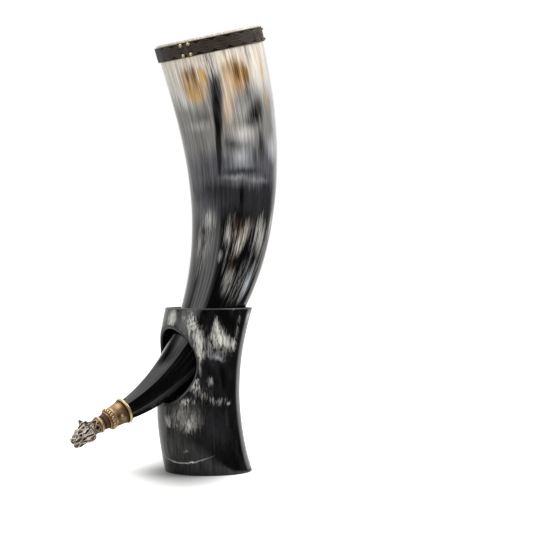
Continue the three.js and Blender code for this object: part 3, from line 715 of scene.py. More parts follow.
def polished_stand(tube, colours):
    """Black horn, buffed: glossy, with bone-white flecks that are torn along the grain."""
    material, tree, shader = new_material("Polished black horn")
    place = add(tree, "TexCoord").outputs["Object"]
    torn = ragged(tree, place, 1.2 * MM, 12 * MM, (2 * MM, 2 * MM, 8 * MM))
    tear = grain_tear(tree, place, 2 * MM, 8 * MM, 4 * MM)
    patches = fibres(tree, place, 9 * MM, 26 * MM)
    sooty = add(tree, "MapRange", {"Value": patches, "From Min": 0.45, "From Max": 0.7})
    shade = add(tree, "Mix", {0: sooty, 6: colours.black, 7: colours.soot}, data_type="RGBA").outputs[2]
    for turned in NEAR_AND_FAR:
        for mark in STAND_MARKS:
            angle = mark.angle + turned
            centre = tube.point(angle, mark.along, 0)
            radius = tube.radius(mark.along, 0)
            facing = math.pi - angle
            shade = mark.lay(tree, shade, torn, tear, centre, facing, radius, MARK_DEPTH, colours)
    shown = growth_line(tree, tube, place, patches)
    lined = add(tree, "Mix", {0: shown, 6: shade, 7: colours.bone}, data_type="RGBA").outputs[2]
    buff(tree, shader, place, lined)
    return material


def sanded_edge_and_painted_sheen(colours):
    """Black horn where its cut edges are sanded round: a satin dark grey, duller than the wall. Its grey
    also stands in for light: a painted reflection along the hole's bevel and a painted highlight along the
    top rim.
    """
    material, tree, shader = new_material("Sanded black horn")
    place = add(tree, "TexCoord").outputs["Object"]
    fine = fibres(tree, place, 1.1 * MM, 8 * MM)
    shade = add(tree, "Mix", {0: fine, 6: colours.black, 7: colours.sanded}, data_type="RGBA")
    give(tree, shader, {"Base Color": shade.outputs[2], "Roughness": 0.35})
    return material


def embossed_leather(band):
    """Vegetable-tanned leather, dyed black and embossed: dull, with rubbed ridges and a fine grain.

    Its pores are drawn larger than real ones, as large as they need to be to show.
    """
    material, tree, shader = new_material("Embossed leather")
    place = add(tree, "TexCoord").outputs["Object"]
    recess = add(tree, "Attribute", attribute_name="recess").outputs["Fac"]
    blotches = add(tree, "TexNoise", {"Vector": place, "Scale": 1 / (6 * MM), "Detail": 4})
    rubbed = add(tree, "Math", {0: recess, 1: -2.4, 2: blotches}, operation="MULTIPLY_ADD")
    wear = add(tree, "MapRange", {"Value": rubbed, "From Min": 0.62, "From Max": 1.1})
    dyed = add(tree, "Mix", {0: wear, 6: band.leather, 7: band.worn}, data_type="RGBA")
    dull = add(tree, "MapRange", {"Value": wear, "To Min": 0.5, "To Max": 0.38})
    pores = add(tree, "TexVoronoi", {"Vector": place, "Scale": 1 / (0.7 * MM)})
    grain = add(tree, "Bump", {"Strength": 0.35, "Distance": 0.12 * MM, "Height": pores})
    give(tree, shader, {
        "Base Color": dyed.outputs[2], "Roughness": dull, "Specular IOR Level": 0.2, "Normal": grain})
    return material


def raw_leather(band):
    """The leather's cut edge: undyed brown fibres, rough."""
    material, tree, shader = new_material("Cut leather edge")
    place = add(tree, "TexCoord").outputs["Object"]
    fluff = add(tree, "TexNoise", {"Vector": place, "Scale": 1 / (0.8 * MM), "Detail": 3})
    shade = add(tree, "Mix", {0: fluff, 6: band.leather, 7: band.raw_edge}, data_type="RGBA")
    nap = add(tree, "Bump", {"Strength": 0.4, "Distance": 0.15 * MM, "Height": fluff})
    give(tree, shader, {"Base Color": shade.outputs[2], "Roughness": 0.85, "Normal": nap})
    return material


def antique_metal(name, shades, rough, grit, aged, bare, contrast=0.5):
    """Cast metal, blackened and rubbed back: bright on what stands out, dark in what lies deep.

    Its three shades run from rubbed to patina. It has a roughness where it is rubbed, a size of blotches,
    an age that darkens it all over, a share of bare metal, and a contrast that its recesses bring.
    """
    material, tree, shader = new_material(name)
    place = add(tree, "TexCoord").outputs["Object"]
    # On the fitting's castings this recess also carries painted shade towards their joints
    recess = add(tree, "Attribute", attribute_name="recess").outputs["Fac"]
    blotches = add(tree, "TexNoise", {"Vector": place, "Scale": 1 / grit, "Detail": 4})
    spread = add(tree, "Math", {0: blotches, 1: 0.5, 2: aged}, operation="MULTIPLY_ADD")
    level = add(tree, "Math", {0: recess, 1: contrast, 2: spread}, operation="MULTIPLY_ADD")
    rubbed, dark, patina = shades
    shade = add(tree, "ValToRGB", {0: level}, [(0.2, rubbed), (0.48, dark), (0.75, patina)])
    worn = add(tree, "MapRange", {
        "Value": level, "From Min": 0.2, "From Max": 0.7, "To Min": rough, "To Max": 0.65})
    metal = add(tree, "MapRange", {
        "Value": level, "From Min": 0.5, "From Max": 0.8, "To Min": bare, "To Max": 0.3})
    pits = add(tree, "Bump", {"Strength": 0.2, "Distance": 0.08 * MM, "Height": blotches})
    give(tree, shader, {"Base Color": shade, "Roughness": worn, "Metallic": metal, "Normal": pits})
    return material


def tack_brass(fitting):
    """Drawn brass tacks and pins, lightly tarnished: yellow, with brown round the head."""
    shades = (fitting.brass_bright, fitting.brass, fitting.brass_dark)
    return antique_metal("Tarnished brass tack", shades, rough=0.25, grit=1.2 * MM, aged=0, bare=0.7)


def cast_brass(fitting):
    """Cast brass under a brown patina, rubbed to a soft shine: the ferrule's cup and the neck."""
    shades = (fitting.brass, fitting.brass_dark, fitting.patina)
    return antique_metal("Antique brass casting", shades, rough=0.3, grit=5 * MM, aged=0.4, bare=0.78)


def ring_brass(fitting):
    """Cast brass that hands have rubbed bright, black only in its grooves: the lip and the rings."""
    shades = (fitting.brass_bright, fitting.brass, fitting.patina)
    return antique_metal("Rubbed brass ring", shades, rough=0.25, grit=5 * MM, aged=0.04, bare=0.75)


def knot_bronze(fitting):
    """Cast bronze, blackened and rubbed back: soft brown straps with black between them."""
    shades = (fitting.bronze, fitting.bronze_dark, fitting.patina)
    return antique_metal("Antique bronze knotwork", shades, rough=0.3, grit=1.6 * MM, aged=0.05, bare=0.7)


def antique_cast(fitting):
    """White-bronze casting, blackened and rubbed back: silvery ridges over black recesses."""
    shades = (fitting.cast, fitting.cast_dark, fitting.patina)
    return antique_metal(
        "Antique white bronze", shades, rough=0.3, grit=1.6 * MM, aged=0.03, bare=0.55, contrast=0.9)


def turned_steel(fitting):
    """Mild steel rod, turned: bare grey metal with a faint mottle, drawn coarser than the tool's marks."""
    material, tree, shader = new_material("Turned steel")
    place = add(tree, "TexCoord").outputs["Object"]
    mottle = add(tree, "TexNoise", {"Vector": place, "Scale": 1 / (0.5 * MM), "Detail": 2})
    shade = add(tree, "ValToRGB", {0: mottle}, [(0.3, fitting.steel_dark), (0.7, fitting.steel)])
    give(tree, shader, {"Base Color": shade, "Metallic": 1, "Roughness": 0.4})
    return material


# Horn

HORN_SIDES = 120
HORN_RINGS = 120
HOLLOW_RINGS = 48
RIM_STEPS = 5
DOME_STEPS = 8
FACETS = 7
FACETS_FROM = 0.6  # share of the horn's length where its scraped faces begin
FACETS_FULL = 0.9  # share where they are flattest
HOLLOW_FROM = 0.7  # how deep in the rim its inside begins, as a share of the wall there
RIPPLE_LENGTH = 40 * MM
RIPPLE_DETAIL = 1.5  # more makes the ripples smaller


def ripple(angle, along):
    """Unevenness at a place round a tube and along it, from about -1 to 1."""
    return noise.noise(Vector((math.cos(angle), math.sin(angle), along / RIPPLE_LENGTH)) * RIPPLE_DETAIL)


def horn_profile(horn, curve):
    """The horn's half section, from the tenon's end up the outside, over the rim and down the hollow."""
    end = horn.length + horn.tenon_length
    dome_top = horn.hollow_depth - horn.hollow_dome
    profile = [(0, -end), (horn.tenon_radius, -end)]
    for ring in range(HORN_RINGS + 1):
        along = horn.length + (horn.rim_round - horn.length) * ring / HORN_RINGS
        profile.append((curve.radius(along), -along))
    outer = (horn.mouth_radius - horn.rim_round, -horn.rim_round)
    inner = (horn.mouth_radius - horn.mouth_wall + horn.rim_round, -horn.rim_round)
    rounding = (horn.rim_round, horn.rim_round)
    profile += arc(outer, rounding, 0, 90, RIM_STEPS)[1:] + arc(inner, rounding, 90, 180, RIM_STEPS)[:-1]
    for ring in range(HOLLOW_RINGS + 1):
        along = horn.rim_round + (dome_top - horn.rim_round) * ring / HOLLOW_RINGS
        profile.append((curve.hollow_radius(along), -along))
    for step in range(1, DOME_STEPS + 1):
        along = dome_top + horn.hollow_dome * math.sin(math.pi / 2 * step / DOME_STEPS)
        profile.append((curve.hollow_radius(along) if step < DOME_STEPS else 0, -along))
    return profile


def scraped_face(angle):
    """How far in a flat face lies at an angle, as a share of the radius of its corners."""
    face = math.tau / FACETS
    return math.cos(face / 2) / math.cos(angle % face - face / 2)


def make_horn(settings):
    """Spins the horn straight, roughens its outside, and bends it along its curve."""
    horn = settings.horn
    curve = HornCurve(horn)
    shape = spun(horn_profile(horn, curve), HORN_SIDES)
    for face in shape.faces:
        centre = face.calc_center_median()
        hollow_edge = curve.radius(-centre.z) - HOLLOW_FROM * horn.mouth_wall
        inside = -centre.z < horn.hollow_depth and centre.to_2d().length < hollow_edge
        face.material_index = 1 if inside else 0
    grain = shape.verts.layers.float_vector.new("grain")
    for vert in shape.verts:
        along = -vert.co.z
        angle = math.atan2(vert.co.y, vert.co.x)
        radius = vert.co.to_2d().length
        outward = Vector((math.cos(angle), math.sin(angle), 0))
        vert[grain] = outward * horn.mouth_radius + Vector((0, 0, along))
        if radius > curve.radius(along) - horn.mouth_wall / 2 and along < horn.length:
            scraped = min(max((along / horn.length - FACETS_FROM) / (FACETS_FULL - FACETS_FROM), 0), 1)
            radius *= 1 + horn.facet * scraped * (scraped_face(angle) - 1)
            radius += horn.ripple * ripple(angle, along)
        vert.co = curve.point(along, angle, radius)
    bmesh.ops.recalc_face_normals(shape, faces=shape.faces)
    materials = [polished_horn(horn, settings.colours), scraped_hollow(settings.colours)]
    finish_piece(shape, "polished_horn", materials, "horn", ["horn_cup"])


# Stand

SHEET_HALF = math.pi / 2  # half the angle of the sheet with the hole in it
SHEET_SIDE_STEPS = 32
SHEET_ROUND_STEPS = 48
SHEET_LOOPS = (0.28, 0.42, 0.56, 0.7, 0.85, 1)  # shares of the way from the hole to the sheet's rim
BACK_STEPS = 44
HOLE_INSIDE_EDGE = 0.6 * MM
HOLE_STEPS, HOLE_INSIDE_STEPS, END_STEPS = 6, 2, 3  # steps in the rounding of its edges
NEAR_ANGLE = 0.001  # angles and heights this close are taken as equal
NEAR_HEIGHT = 0.1 * MM


class StandTube:
    """The stand's wall where its CAD solid is, with depths from its outside."""

    def __init__(self, stand):
        low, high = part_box("horn_stand")
        self.stand = stand
        self.height = high.z
        edge_belly = self.belly(stand.edge)
        edge_radius = (high.y - low.y) / 2
        self.outer = edge_radius + stand.waist * edge_belly
        self.axis_x = high.x - edge_radius + stand.bow * edge_belly
        self.axis_y = (high.y + low.y) / 2

    def belly(self, height):
        """How far its shape is from that at its ends: 0 there, 1 half way up."""
        return 1 - (2 * height / self.height - 1) ** 2

    def radius(self, height, depth):
        """The wall's radius at a depth from its outside."""
        return self.outer - depth - self.stand.waist * self.belly(height)

    def point(self, angle, height, depth):
        """A point of the wall, at an angle round from the tip's side."""
        radius = self.radius(height, depth)
        middle = self.axis_x - self.stand.bow * self.belly(height)
        return Vector((middle - radius * math.cos(angle), self.axis_y + radius * math.sin(angle), height))


def sheet_rim(height):
    """The corners and edge points of the flat sheet that the hole is cut in, as (angle, height)."""
    rim = []
    for step in range(SHEET_SIDE_STEPS):
        rim.append((SHEET_HALF, height * step / SHEET_SIDE_STEPS))
    for step in range(SHEET_ROUND_STEPS):
        rim.append((SHEET_HALF * (1 - 2 * step / SHEET_ROUND_STEPS), height))
    return rim + [(-angle, height - up) for angle, up in rim]


def new_ring(made):
    """The new points and the new edges between them, of what an extrusion made."""
    verts = [part for part in made["geom"] if isinstance(part, bmesh.types.BMVert)]
    fresh = set(verts)
    edges = [part for part in made["geom"] if isinstance(part, bmesh.types.BMEdge)]
    return verts, [edge for edge in edges if fresh.issuperset(edge.verts)]


def draw_sheet(shape, tube, depth):
    """Draws one face of the wall flat, as (angle, height, depth): loops round the hole, then the back."""
    stand = tube.stand
    spoke = shape.verts.layers.int["spoke"]
    rim = sheet_rim(tube.height)
    middle = (stand.hole_top + stand.hole_bottom) / 2
    half_height = (stand.hole_top - stand.hole_bottom) / 2
    half_angle = math.asin(stand.hole_half_width / tube.radius(middle, depth))
    hole = []
    for angle, height in rim:
        way = math.atan2((height - middle) / half_height, angle / half_angle)
        up = middle + half_height * math.sin(way)
        hole.append((math.asin(stand.hole_half_width * math.cos(way) / tube.radius(up, depth)), up))
    verts = bmesh.ops.create_circle(shape, segments=len(rim), radius=1)["verts"]
    edges = list({edge for vert in verts for edge in vert.link_edges})
    for index, vert in enumerate(verts):
        vert[spoke] = index
        vert.co = (*hole[index], depth)
    for share in SHEET_LOOPS:
        verts, edges = new_ring(bmesh.ops.extrude_edge_only(shape, edges=edges))
        for vert in verts:
            start, end = Vector(hole[vert[spoke]]), Vector(rim[vert[spoke]])
            vert.co = (*start.lerp(end, share), depth)
    edges = [edge for edge in edges if all(vert.co.x > SHEET_HALF - NEAR_ANGLE for vert in edge.verts)]
    for step in range(1, BACK_STEPS + 1):
        verts, edges = new_ring(bmesh.ops.extrude_edge_only(shape, edges=edges))
        for vert in verts:
            vert.co.x = SHEET_HALF + (math.tau - 2 * SHEET_HALF) * step / BACK_STEPS


def round_edges(shape, edges, width, segments):
    """Rounds edges, and returns the rounding's faces."""
    return bmesh.ops.bevel(
        shape, geom=edges, offset=width, offset_type="OFFSET", segments=segments, profile=0.5,
        affect="EDGES", material=-1)["faces"]


def flat_rims(shape, tube):
    """The open edges of the flat sheets: round the hole, along the top and along the foot."""
    rims = {"hole": [], "top": [], "foot": []}
    for edge in shape.edges:
        angles, heights, _ = zip(*(vert.co for vert in edge.verts))
        at_seam = max(angles) < NEAR_ANGLE - SHEET_HALF or min(angles) > math.tau - SHEET_HALF - NEAR_ANGLE
        if edge.is_boundary and not at_seam:
            name = "hole"
            if min(heights) > tube.height - NEAR_HEIGHT:
                name = "top"
            elif max(heights) < NEAR_HEIGHT:
                name = "foot"
            rims[name].append(edge)
    return rims


def make_stand(settings):
    """Draws the wall's faces flat, joins their rims, rolls them into a tube and rounds its edges."""
    stand = settings.stand
    tube = StandTube(stand)
    shape = bmesh.new()
    shape.verts.layers.int.new("spoke")
    outside = shape.verts.layers.int.new("outside")
    for depth in (0, stand.wall):
        draw_sheet(shape, tube, depth)
    rims = flat_rims(shape, tube)
    for edges in rims.values():
        bmesh.ops.bridge_loops(shape, edges=edges)
    for vert in shape.verts:
        angle, height, depth = vert.co
        vert[outside] = 1 if depth < stand.wall / 2 else 0
        uneven = stand.ripple * (1 + ripple(angle, height)) * vert[outside]
        vert.co = tube.point(angle, height, depth + uneven)
    bmesh.ops.remove_doubles(shape, verts=shape.verts, dist=0.01 * MM)
    bmesh.ops.recalc_face_normals(shape, faces=shape.faces)
    hole_outside = [edge for edge in rims["hole"] if all(vert[outside] for vert in edge.verts)]
    hole_inside = [edge for edge in rims["hole"] if not any(vert[outside] for vert in edge.verts)]
    # The hole's wide rounding takes the sanded grey, which is partly a painted reflection along the bevel
    for face in round_edges(shape, hole_outside, stand.hole_edge, HOLE_STEPS):
        face.material_index = 1
    round_edges(shape, hole_inside, HOLE_INSIDE_EDGE, HOLE_INSIDE_STEPS)
    ends = [edge for edge in rims["top"] + rims["foot"] if edge.is_valid]
    round_edges(shape, ends, stand.edge, END_STEPS)
    # The top rim takes the sanded grey too, which is partly a painted highlight along the top edge
    for face in shape.faces:
        if face.calc_center_median().z > tube.height - stand.edge:
            face.material_index = 1
    materials = [polished_stand(tube, settings.colours), sanded_edge_and_painted_sheen(settings.colours)]
    finish_piece(shape, "horn_section_stand", materials, "stand", ["horn_stand"], sharp=60)


# Rim band

STRIP_STEPS = 360
STRIP_ROWS = 48
RIBBON_SWING = 2.4 * MM
CORD_SPACING = 1.35 * MM
CORDS_BESIDE = 2  # cords on each side of a ribbon's middle one
CORD_VALLEY = 0.25  # height between two cords, where a cord's top is 1
UNDER_RIBBON = 0.85  # height of a ribbon that passes under, as a share of one that passes over
GROUND, PEBBLE = 0.2, 0.15  # height of the ground beside the plait, and of the pebbles on it
PEBBLE_SIZE = 0.9 * MM
BORDER_WIDTH = 0.9 * MM
GRID_EDGE = 0.9999  # where a grid that reaches from -1 to 1 ends


def plait_height(along, across, band):
    """Height of the plait at a place along the band and across it from its middle, from 0 to 1."""
    phase = math.tau * along / band.plait_pitch
    level = GROUND + PEBBLE * noise.noise(Vector((along, across, 0)) / PEBBLE_SIZE)
    ribbons = []
    for side in (1, -1):
        off = abs(across - side * RIBBON_SWING * math.sin(phase)) / CORD_SPACING
        ribbons.append((side * math.cos(phase) > 0, off))
    for on_top, off in sorted(ribbons):
        if off < CORDS_BESIDE + 0.5:
            cord = CORD_VALLEY + (1 - CORD_VALLEY) * abs(math.cos(math.pi * off))
            level = cord * (1 if on_top else UNDER_RIBBON)
    to_edge = band.height / 2 - abs(across)
    if to_edge < BORDER_WIDTH:
        level = abs(math.sin(math.pi * to_edge / BORDER_WIDTH))
    return level


def make_strip(index, settings, curve, materials):
    """One embossed strip, bent round the horn below its rim."""
    band = settings.band
    face_turn = math.tau / band.strips
    radius = settings.horn.mouth_radius + SEAT_GAP + band.thickness / 2
    gap_turn = band.butt_gap / radius
    shape = bmesh.new()
    bmesh.ops.create_grid(shape, x_segments=STRIP_STEPS, y_segments=STRIP_ROWS, size=1)
    bmesh.ops.solidify(shape, geom=shape.faces[:], thickness=1)
    face_level = max(vert.co.z for vert in shape.verts)
    for face in shape.faces:
        at_end = all(abs(vert.co.x) > GRID_EDGE for vert in face.verts)
        at_side = all(abs(vert.co.y) > GRID_EDGE for vert in face.verts)
        face.material_index = 1 if at_end or at_side else 0
    for vert in shape.verts:
        share, across, level = vert.co
        angle = band.first_seam + (index + 0.5) * face_turn - share * (face_turn - gap_turn) / 2
        along = band.drop + band.height * (1 - across) / 2
        thickness = 0
        if level > face_level - 0.5:
            round_along = (angle - band.first_seam) * radius
            height = plait_height(round_along, across * band.height / 2, band)
            thickness = band.thickness - band.relief * (1 - height)
        vert.co = curve.point(along, angle, curve.radius(along) + SEAT_GAP + thickness)
    bmesh.ops.recalc_face_normals(shape, faces=shape.faces)
    mark_recesses(shape, passes=6, depth=0.25 * MM)
    name = f"rim_strip_leather_{index + 1}"
    finish_piece(shape, name, materials, "horn", [f"rim_strip_{index + 1}"])


def make_band(settings):
    """Makes the strips one after another round the rim."""
    curve = HornCurve(settings.horn)
    materials = [embossed_leather(settings.band), raw_leather(settings.band)]
    for index in range(settings.band.strips):
        make_strip(index, settings, curve, materials)


# Tacks and pins

NAIL_SIDES = 20
NAIL_POINT = 0.8 * MM
NAIL_FLANGE = 0.2  # height of the head's edge, as a share of the head's
NAIL_DOME_STEPS = 7


def nail(head_radius, head_height, shank_radius, shank_length):
    """A dome-headed nail on Z, the underside of its head at 0."""
    flange = NAIL_FLANGE * head_height
    profile = [(0, -shank_length), (shank_radius, NAIL_POINT - shank_length), (shank_radius, 0)]
    profile += [(head_radius - flange, 0), (head_radius, flange / 2)]
    profile += arc((0, flange), (head_radius, head_height - flange), 0, 90, NAIL_DOME_STEPS)
    profile[-1] = (0, head_height)
    return spun(profile, NAIL_SIDES)


def facing_place(origin, outward, up):
    """A frame at a place, with +Z outward and +X up."""
    place = Matrix((up, outward.cross(up), outward)).transposed().to_4x4()
    place.translation = origin
    return place


def drive_nail(shape, place, material, name, node):
    """Sets a nail in its place, with tarnish in what lies deep round its head."""
    shape.transform(place)
    mark_recesses(shape, passes=3, depth=0.4 * MM)
    finish_piece(shape, name, [material], "horn", [node])


def make_tacks(settings):
    """Makes the tacks: at each seam two on either side, near the band's edges."""
    tacks, band = settings.tacks, settings.band
    curve = HornCurve(settings.horn)
    material = tack_brass(settings.fitting)
    seat = SEAT_GAP + band.thickness + SEAT_GAP
    rows = (tacks.from_edge, band.height - tacks.from_edge)
    spots = [(seam, side, row) for seam in range(band.strips) for side in (-1, 1) for row in rows]
    for index, (seam, side, row) in enumerate(spots):
        along = band.drop + row
        aside = side * tacks.from_seam / curve.radius(along)
        angle = band.first_seam + seam * math.tau / band.strips + aside
        _, onward, _ = curve.at(along)
        origin = curve.point(along, angle, curve.radius(along) + seat)
        shape = nail(tacks.head_radius, tacks.head_height, tacks.shank_radius, seat + tacks.bite)
        place = facing_place(origin, curve.outward(along, angle), -onward)
        drive_nail(shape, place, material, f"rim_tack_dome_{index + 1}", f"rim_tack_{index + 1}")


# Tip fitting

CAST_SIDES = 72
# Painted shade on the castings, fading over this reach from each joint and from the ferrule's lip
JOINT_SHADE_REACH = 1.2 * MM
JOINT_SHADE_DEPTH = 2.6  # how dark the painted shade at the joints between the castings is
CAST_EDGE = 0.4 * MM
NECK_EDGE = 0.5 * MM
LIP_STEPS, CUP_STEPS, NECK_STEPS, RING_STEPS = 12, 22, 20, 14
ROPE_STEPS = 24  # round the rope
STRAND_STEPS = 12  # along the ring, for each strand
STRAND_SLANT = 1.4  # strands that a strand passes on its way round the rope
STRAND_CRISP = 1.3  # more makes the grooves narrower
ROPE_GRIME = 1.9  # how dark the grooves are
ROPE_RUBBED = 0.8  # height from which a strand is rubbed bright


def fitting_starts(fitting):
    """Where each casting starts, along the fitting from the ferrule's lip."""
    starts = {}
    place = 0
    lengths = (
        ("ferrule", fitting.ferrule_length), ("rope", fitting.rope_thickness), ("neck", fitting.neck_length),
        ("ring", fitting.ring_width), ("collar", fitting.collar_length), ("head", 0),
    )
    for name, length in lengths:
        starts[name] = place
        place += length + SEAT_GAP
    return starts


def ferrule_profile(settings):
    """The ferrule's section: a rolled lip, a tapering cup, the rope ring's spigot and the horn's socket."""
    fitting, horn = settings.fitting, settings.horn
    starts = fitting_starts(fitting)
    socket_mouth = horn.tip_radius + SEAT_GAP
    socket_end = horn.tenon_radius + SEAT_GAP
    socket_floor = horn.tenon_length + SEAT_GAP
    cup_end = socket_end + fitting.ferrule_wall
    lip = fitting.lip_width / 2
    spigot = fitting.rope_radius - fitting.rope_thickness / 2 - SEAT_GAP
    spigot_end = starts["neck"] - SEAT_GAP
    profile = straight((socket_mouth, 0), (fitting.lip_radius - lip, 0), 2)
    profile += arc((fitting.lip_radius - lip, lip), (lip, lip), -90, 90, LIP_STEPS)[1:]
    length = fitting.ferrule_length
    cup_start = (socket_mouth + fitting.ferrule_wall, fitting.lip_width)
    profile += sweep(cup_start, (cup_end, length / 2), (cup_end, length - CAST_EDGE), CUP_STEPS)
    profile += [(cup_end - CAST_EDGE, length), (spigot, length)]
    profile += [(spigot, spigot_end), (fitting.stud_hole, spigot_end), (fitting.stud_hole, socket_floor)]
    profile += [(socket_end, socket_floor)]
    return profile


def neck_profile(fitting):
    """The neck's section: a waisted sleeve, and a spigot for the plain ring."""
    starts = fitting_starts(fitting)
    start = starts["neck"]
    end = start + fitting.neck_length
    spigot_end = starts["collar"] - SEAT_GAP
    profile = [(fitting.stud_hole, start), (fitting.neck_top - NECK_EDGE, start)]
    waist = (fitting.neck_waist, (start + end) / 2)
    profile += sweep((fitting.neck_top, start + NECK_EDGE), waist, (fitting.neck_end, end), NECK_STEPS)
    profile += [(fitting.spigot_radius, end), (fitting.spigot_radius, spigot_end)]
    return profile + [(fitting.stud_hole, spigot_end)]


def ring_profile(fitting):
    """The plain ring's section, round on its outside."""
    start = fitting_starts(fitting)["ring"]
    half = fitting.ring_width / 2
    inside = fitting.spigot_radius + SEAT_GAP
    profile = [(inside, start)]
    profile += arc((fitting.ring_radius - half, start + half), (half, half), -90, 90, RING_STEPS)
    return profile + [(inside, start + fitting.ring_width)]


def rope_ring(fitting):
    """A ring of slanted strands, with sharp grooves between them."""
    middle = fitting_starts(fitting)["rope"] + fitting.rope_thickness / 2
    half = fitting.rope_thickness / 2
    profile = arc((fitting.rope_radius, middle), (half, half), 0, 360, ROPE_STEPS)[:-1]
    shape = spun(profile, fitting.rope_turns * STRAND_STEPS, closed=True)
    recess = shape.verts.layers.float.new("recess")
    for vert in shape.verts:
        angle = math.atan2(vert.co.y, vert.co.x)
        heart = Vector((math.cos(angle), math.sin(angle), 0)) * fitting.rope_radius + Vector((0, 0, middle))
        spoke = vert.co - heart
        round_angle = math.atan2(spoke.z, vert.co.to_2d().length - fitting.rope_radius)
        strand = abs(math.sin((fitting.rope_turns * angle + STRAND_SLANT * round_angle) / 2))
        vert.co = heart + spoke * (1 - fitting.rope_groove / half * (1 - strand) ** STRAND_CRISP)
        vert[recess] = ROPE_GRIME * (ROPE_RUBBED - strand)
    return shape


def settle_painted_joint_shade(shape, fitting):
    """Paints shade on the castings, darkest at the joints between them and just past the ferrule's lip."""
    recess = shape.verts.layers.float["recess"]
    joints = [start - SEAT_GAP / 2 for start in fitting_starts(fitting).values()][1:]
    for vert in shape.verts:
        nearest = min(abs(vert.co.z - joint) for joint in joints)
        past_lip = vert.co.z - fitting.lip_width
        if past_lip > 0:
            nearest = min(nearest, past_lip)
        vert[recess] += JOINT_SHADE_DEPTH * math.exp(-nearest / JOINT_SHADE_REACH)


def make_pins(settings, place):
    """Makes the two pins, on opposite sides of the ferrule."""
    horn, tacks = settings.horn, settings.tacks
    taper = (horn.tenon_radius - horn.tip_radius) * tacks.pin_from_lip / horn.tenon_length
    seat = SEAT_GAP + settings.fitting.ferrule_wall + SEAT_GAP
    material = tack_brass(settings.fitting)
    for index, side in enumerate((1, -1)):
        shape = nail(tacks.pin_radius, tacks.pin_height, tacks.pin_shank, seat + tacks.pin_bite)
        origin = Vector((0, side * (horn.tip_radius + taper + seat), tacks.pin_from_lip))
        pin_place = place @ facing_place(origin, Vector((0, side, 0)), Vector((1, 0, 0)))
        drive_nail(shape, pin_place, material, f"ferrule_pin_dome_{index + 1}", f"ferrule_pin_{index + 1}")


def make_fitting(settings):
    """Makes the castings and the pins, and gives the stud inside them its steel."""
    fitting = settings.fitting
    place = HornCurve(settings.horn).tip_place()
    brass, bright = cast_brass(fitting), ring_brass(fitting)
    ferrule = spun(ferrule_profile(settings), CAST_SIDES, closed=True)
    neck = spun(neck_profile(fitting), CAST_SIDES, closed=True)
    ring = spun(ring_profile(fitting), CAST_SIDES, closed=True)
    castings = (
        ("ferrule_cup", "tip_ferrule", [brass, bright], ferrule),
        ("twisted_rope_ring", "rope_ring", [bright], rope_ring(fitting)),
        ("waisted_neck", "neck_sleeve", [brass], neck),
        ("plain_neck_ring", "neck_ring", [bright], ring),
    )
    for name, node, metals, shape in castings:
        if node != "rope_ring":
            mark_recesses(shape, passes=16, depth=0.2 * MM)
            # Painted shade towards the joints and beside the lip, added into the recess
            settle_painted_joint_shade(shape, fitting)
        for face in shape.faces:
            in_lip = node == "tip_ferrule" and face.calc_center_median().z < fitting.lip_width
            face.material_index = 1 if in_lip else 0
        shape.transform(place)
        finish_piece(shape, name, metals, "horn", [node], sharp=40)
    make_pins(settings, place)
    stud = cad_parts["finial_stud"]
    stud.data.materials.clear()
    stud.data.materials.append(turned_steel(fitting))


# Knotwork collar

COLLAR_STEPS = 180
COLLAR_ROWS = 36
COLLAR_CROSSES = 6
COLLAR_GRIME = 2.4  # how dark the openwork is
COLLAR_RUBBED = 0.6  # height from which a strap is rubbed bright
STRAP_UNDER = 0.8  # height of a strap that passes under another
STRAP_HALF = 0.2  # half a strap's width, as a share of the space between two straps
COLLAR_RIM = 0.1  # share of the collar's length that is a plain rim at each end


def strap_height(round_share, share):
    """Height of the crossed straps at a place round the collar and along it, from 0 to 1."""
    if share < COLLAR_RIM or share > 1 - COLLAR_RIM:
        return 1.0
    heights = []
    for way in (1, -1):
        off = abs((round_share * COLLAR_CROSSES + way * share) % 1 - 0.5)
        heights.append(max(0, 1 - (off / STRAP_HALF) ** 2) ** 0.5)
    over = 1 if int(round_share * COLLAR_CROSSES * 2) % 2 else 0
    return max(heights[over], STRAP_UNDER * heights[1 - over])


def make_collar(settings):
    """Spins the collar, and sinks the openwork between its straps."""
    fitting = settings.fitting
    start = fitting_starts(fitting)["collar"]
    end = start + fitting.collar_length
    waist = (fitting.collar_waist, (start + end) / 2)
    outside = sweep((fitting.collar_radius, start), waist, (fitting.collar_radius, end), COLLAR_ROWS)
    profile = [(fitting.stud_hole, start), *outside, (fitting.stud_hole, end)]
    shape = spun(profile, COLLAR_STEPS, closed=True)
    recess = shape.verts.layers.float.new("recess")
    for vert in shape.verts:
        radius = vert.co.to_2d().length
        if radius > (fitting.stud_hole + fitting.collar_waist) / 2:
            round_share = math.atan2(vert.co.y, vert.co.x) / math.tau
            height = strap_height(round_share, (vert.co.z - start) / fitting.collar_length)
            sunk = 1 - fitting.strap_depth * (1 - height) / radius
            vert.co = Vector((vert.co.x * sunk, vert.co.y * sunk, vert.co.z))
            vert[recess] = COLLAR_GRIME * (COLLAR_RUBBED - height)
    shape.transform(HornCurve(settings.horn).tip_place())
    metals = [knot_bronze(fitting)]
    finish_piece(shape, "knotwork_collar", metals, "horn", ["knot_collar"])


# Animal's head

HEAD_VOXEL = 0.24 * MM
HEAD_NOD = math.radians(10)
HAIR_DEPTH = 0.16 * MM  # relief of the fine hair all over it
HAIR_WIDTH = 0.9 * MM
HAIR_LENGTH = 2.6 * MM
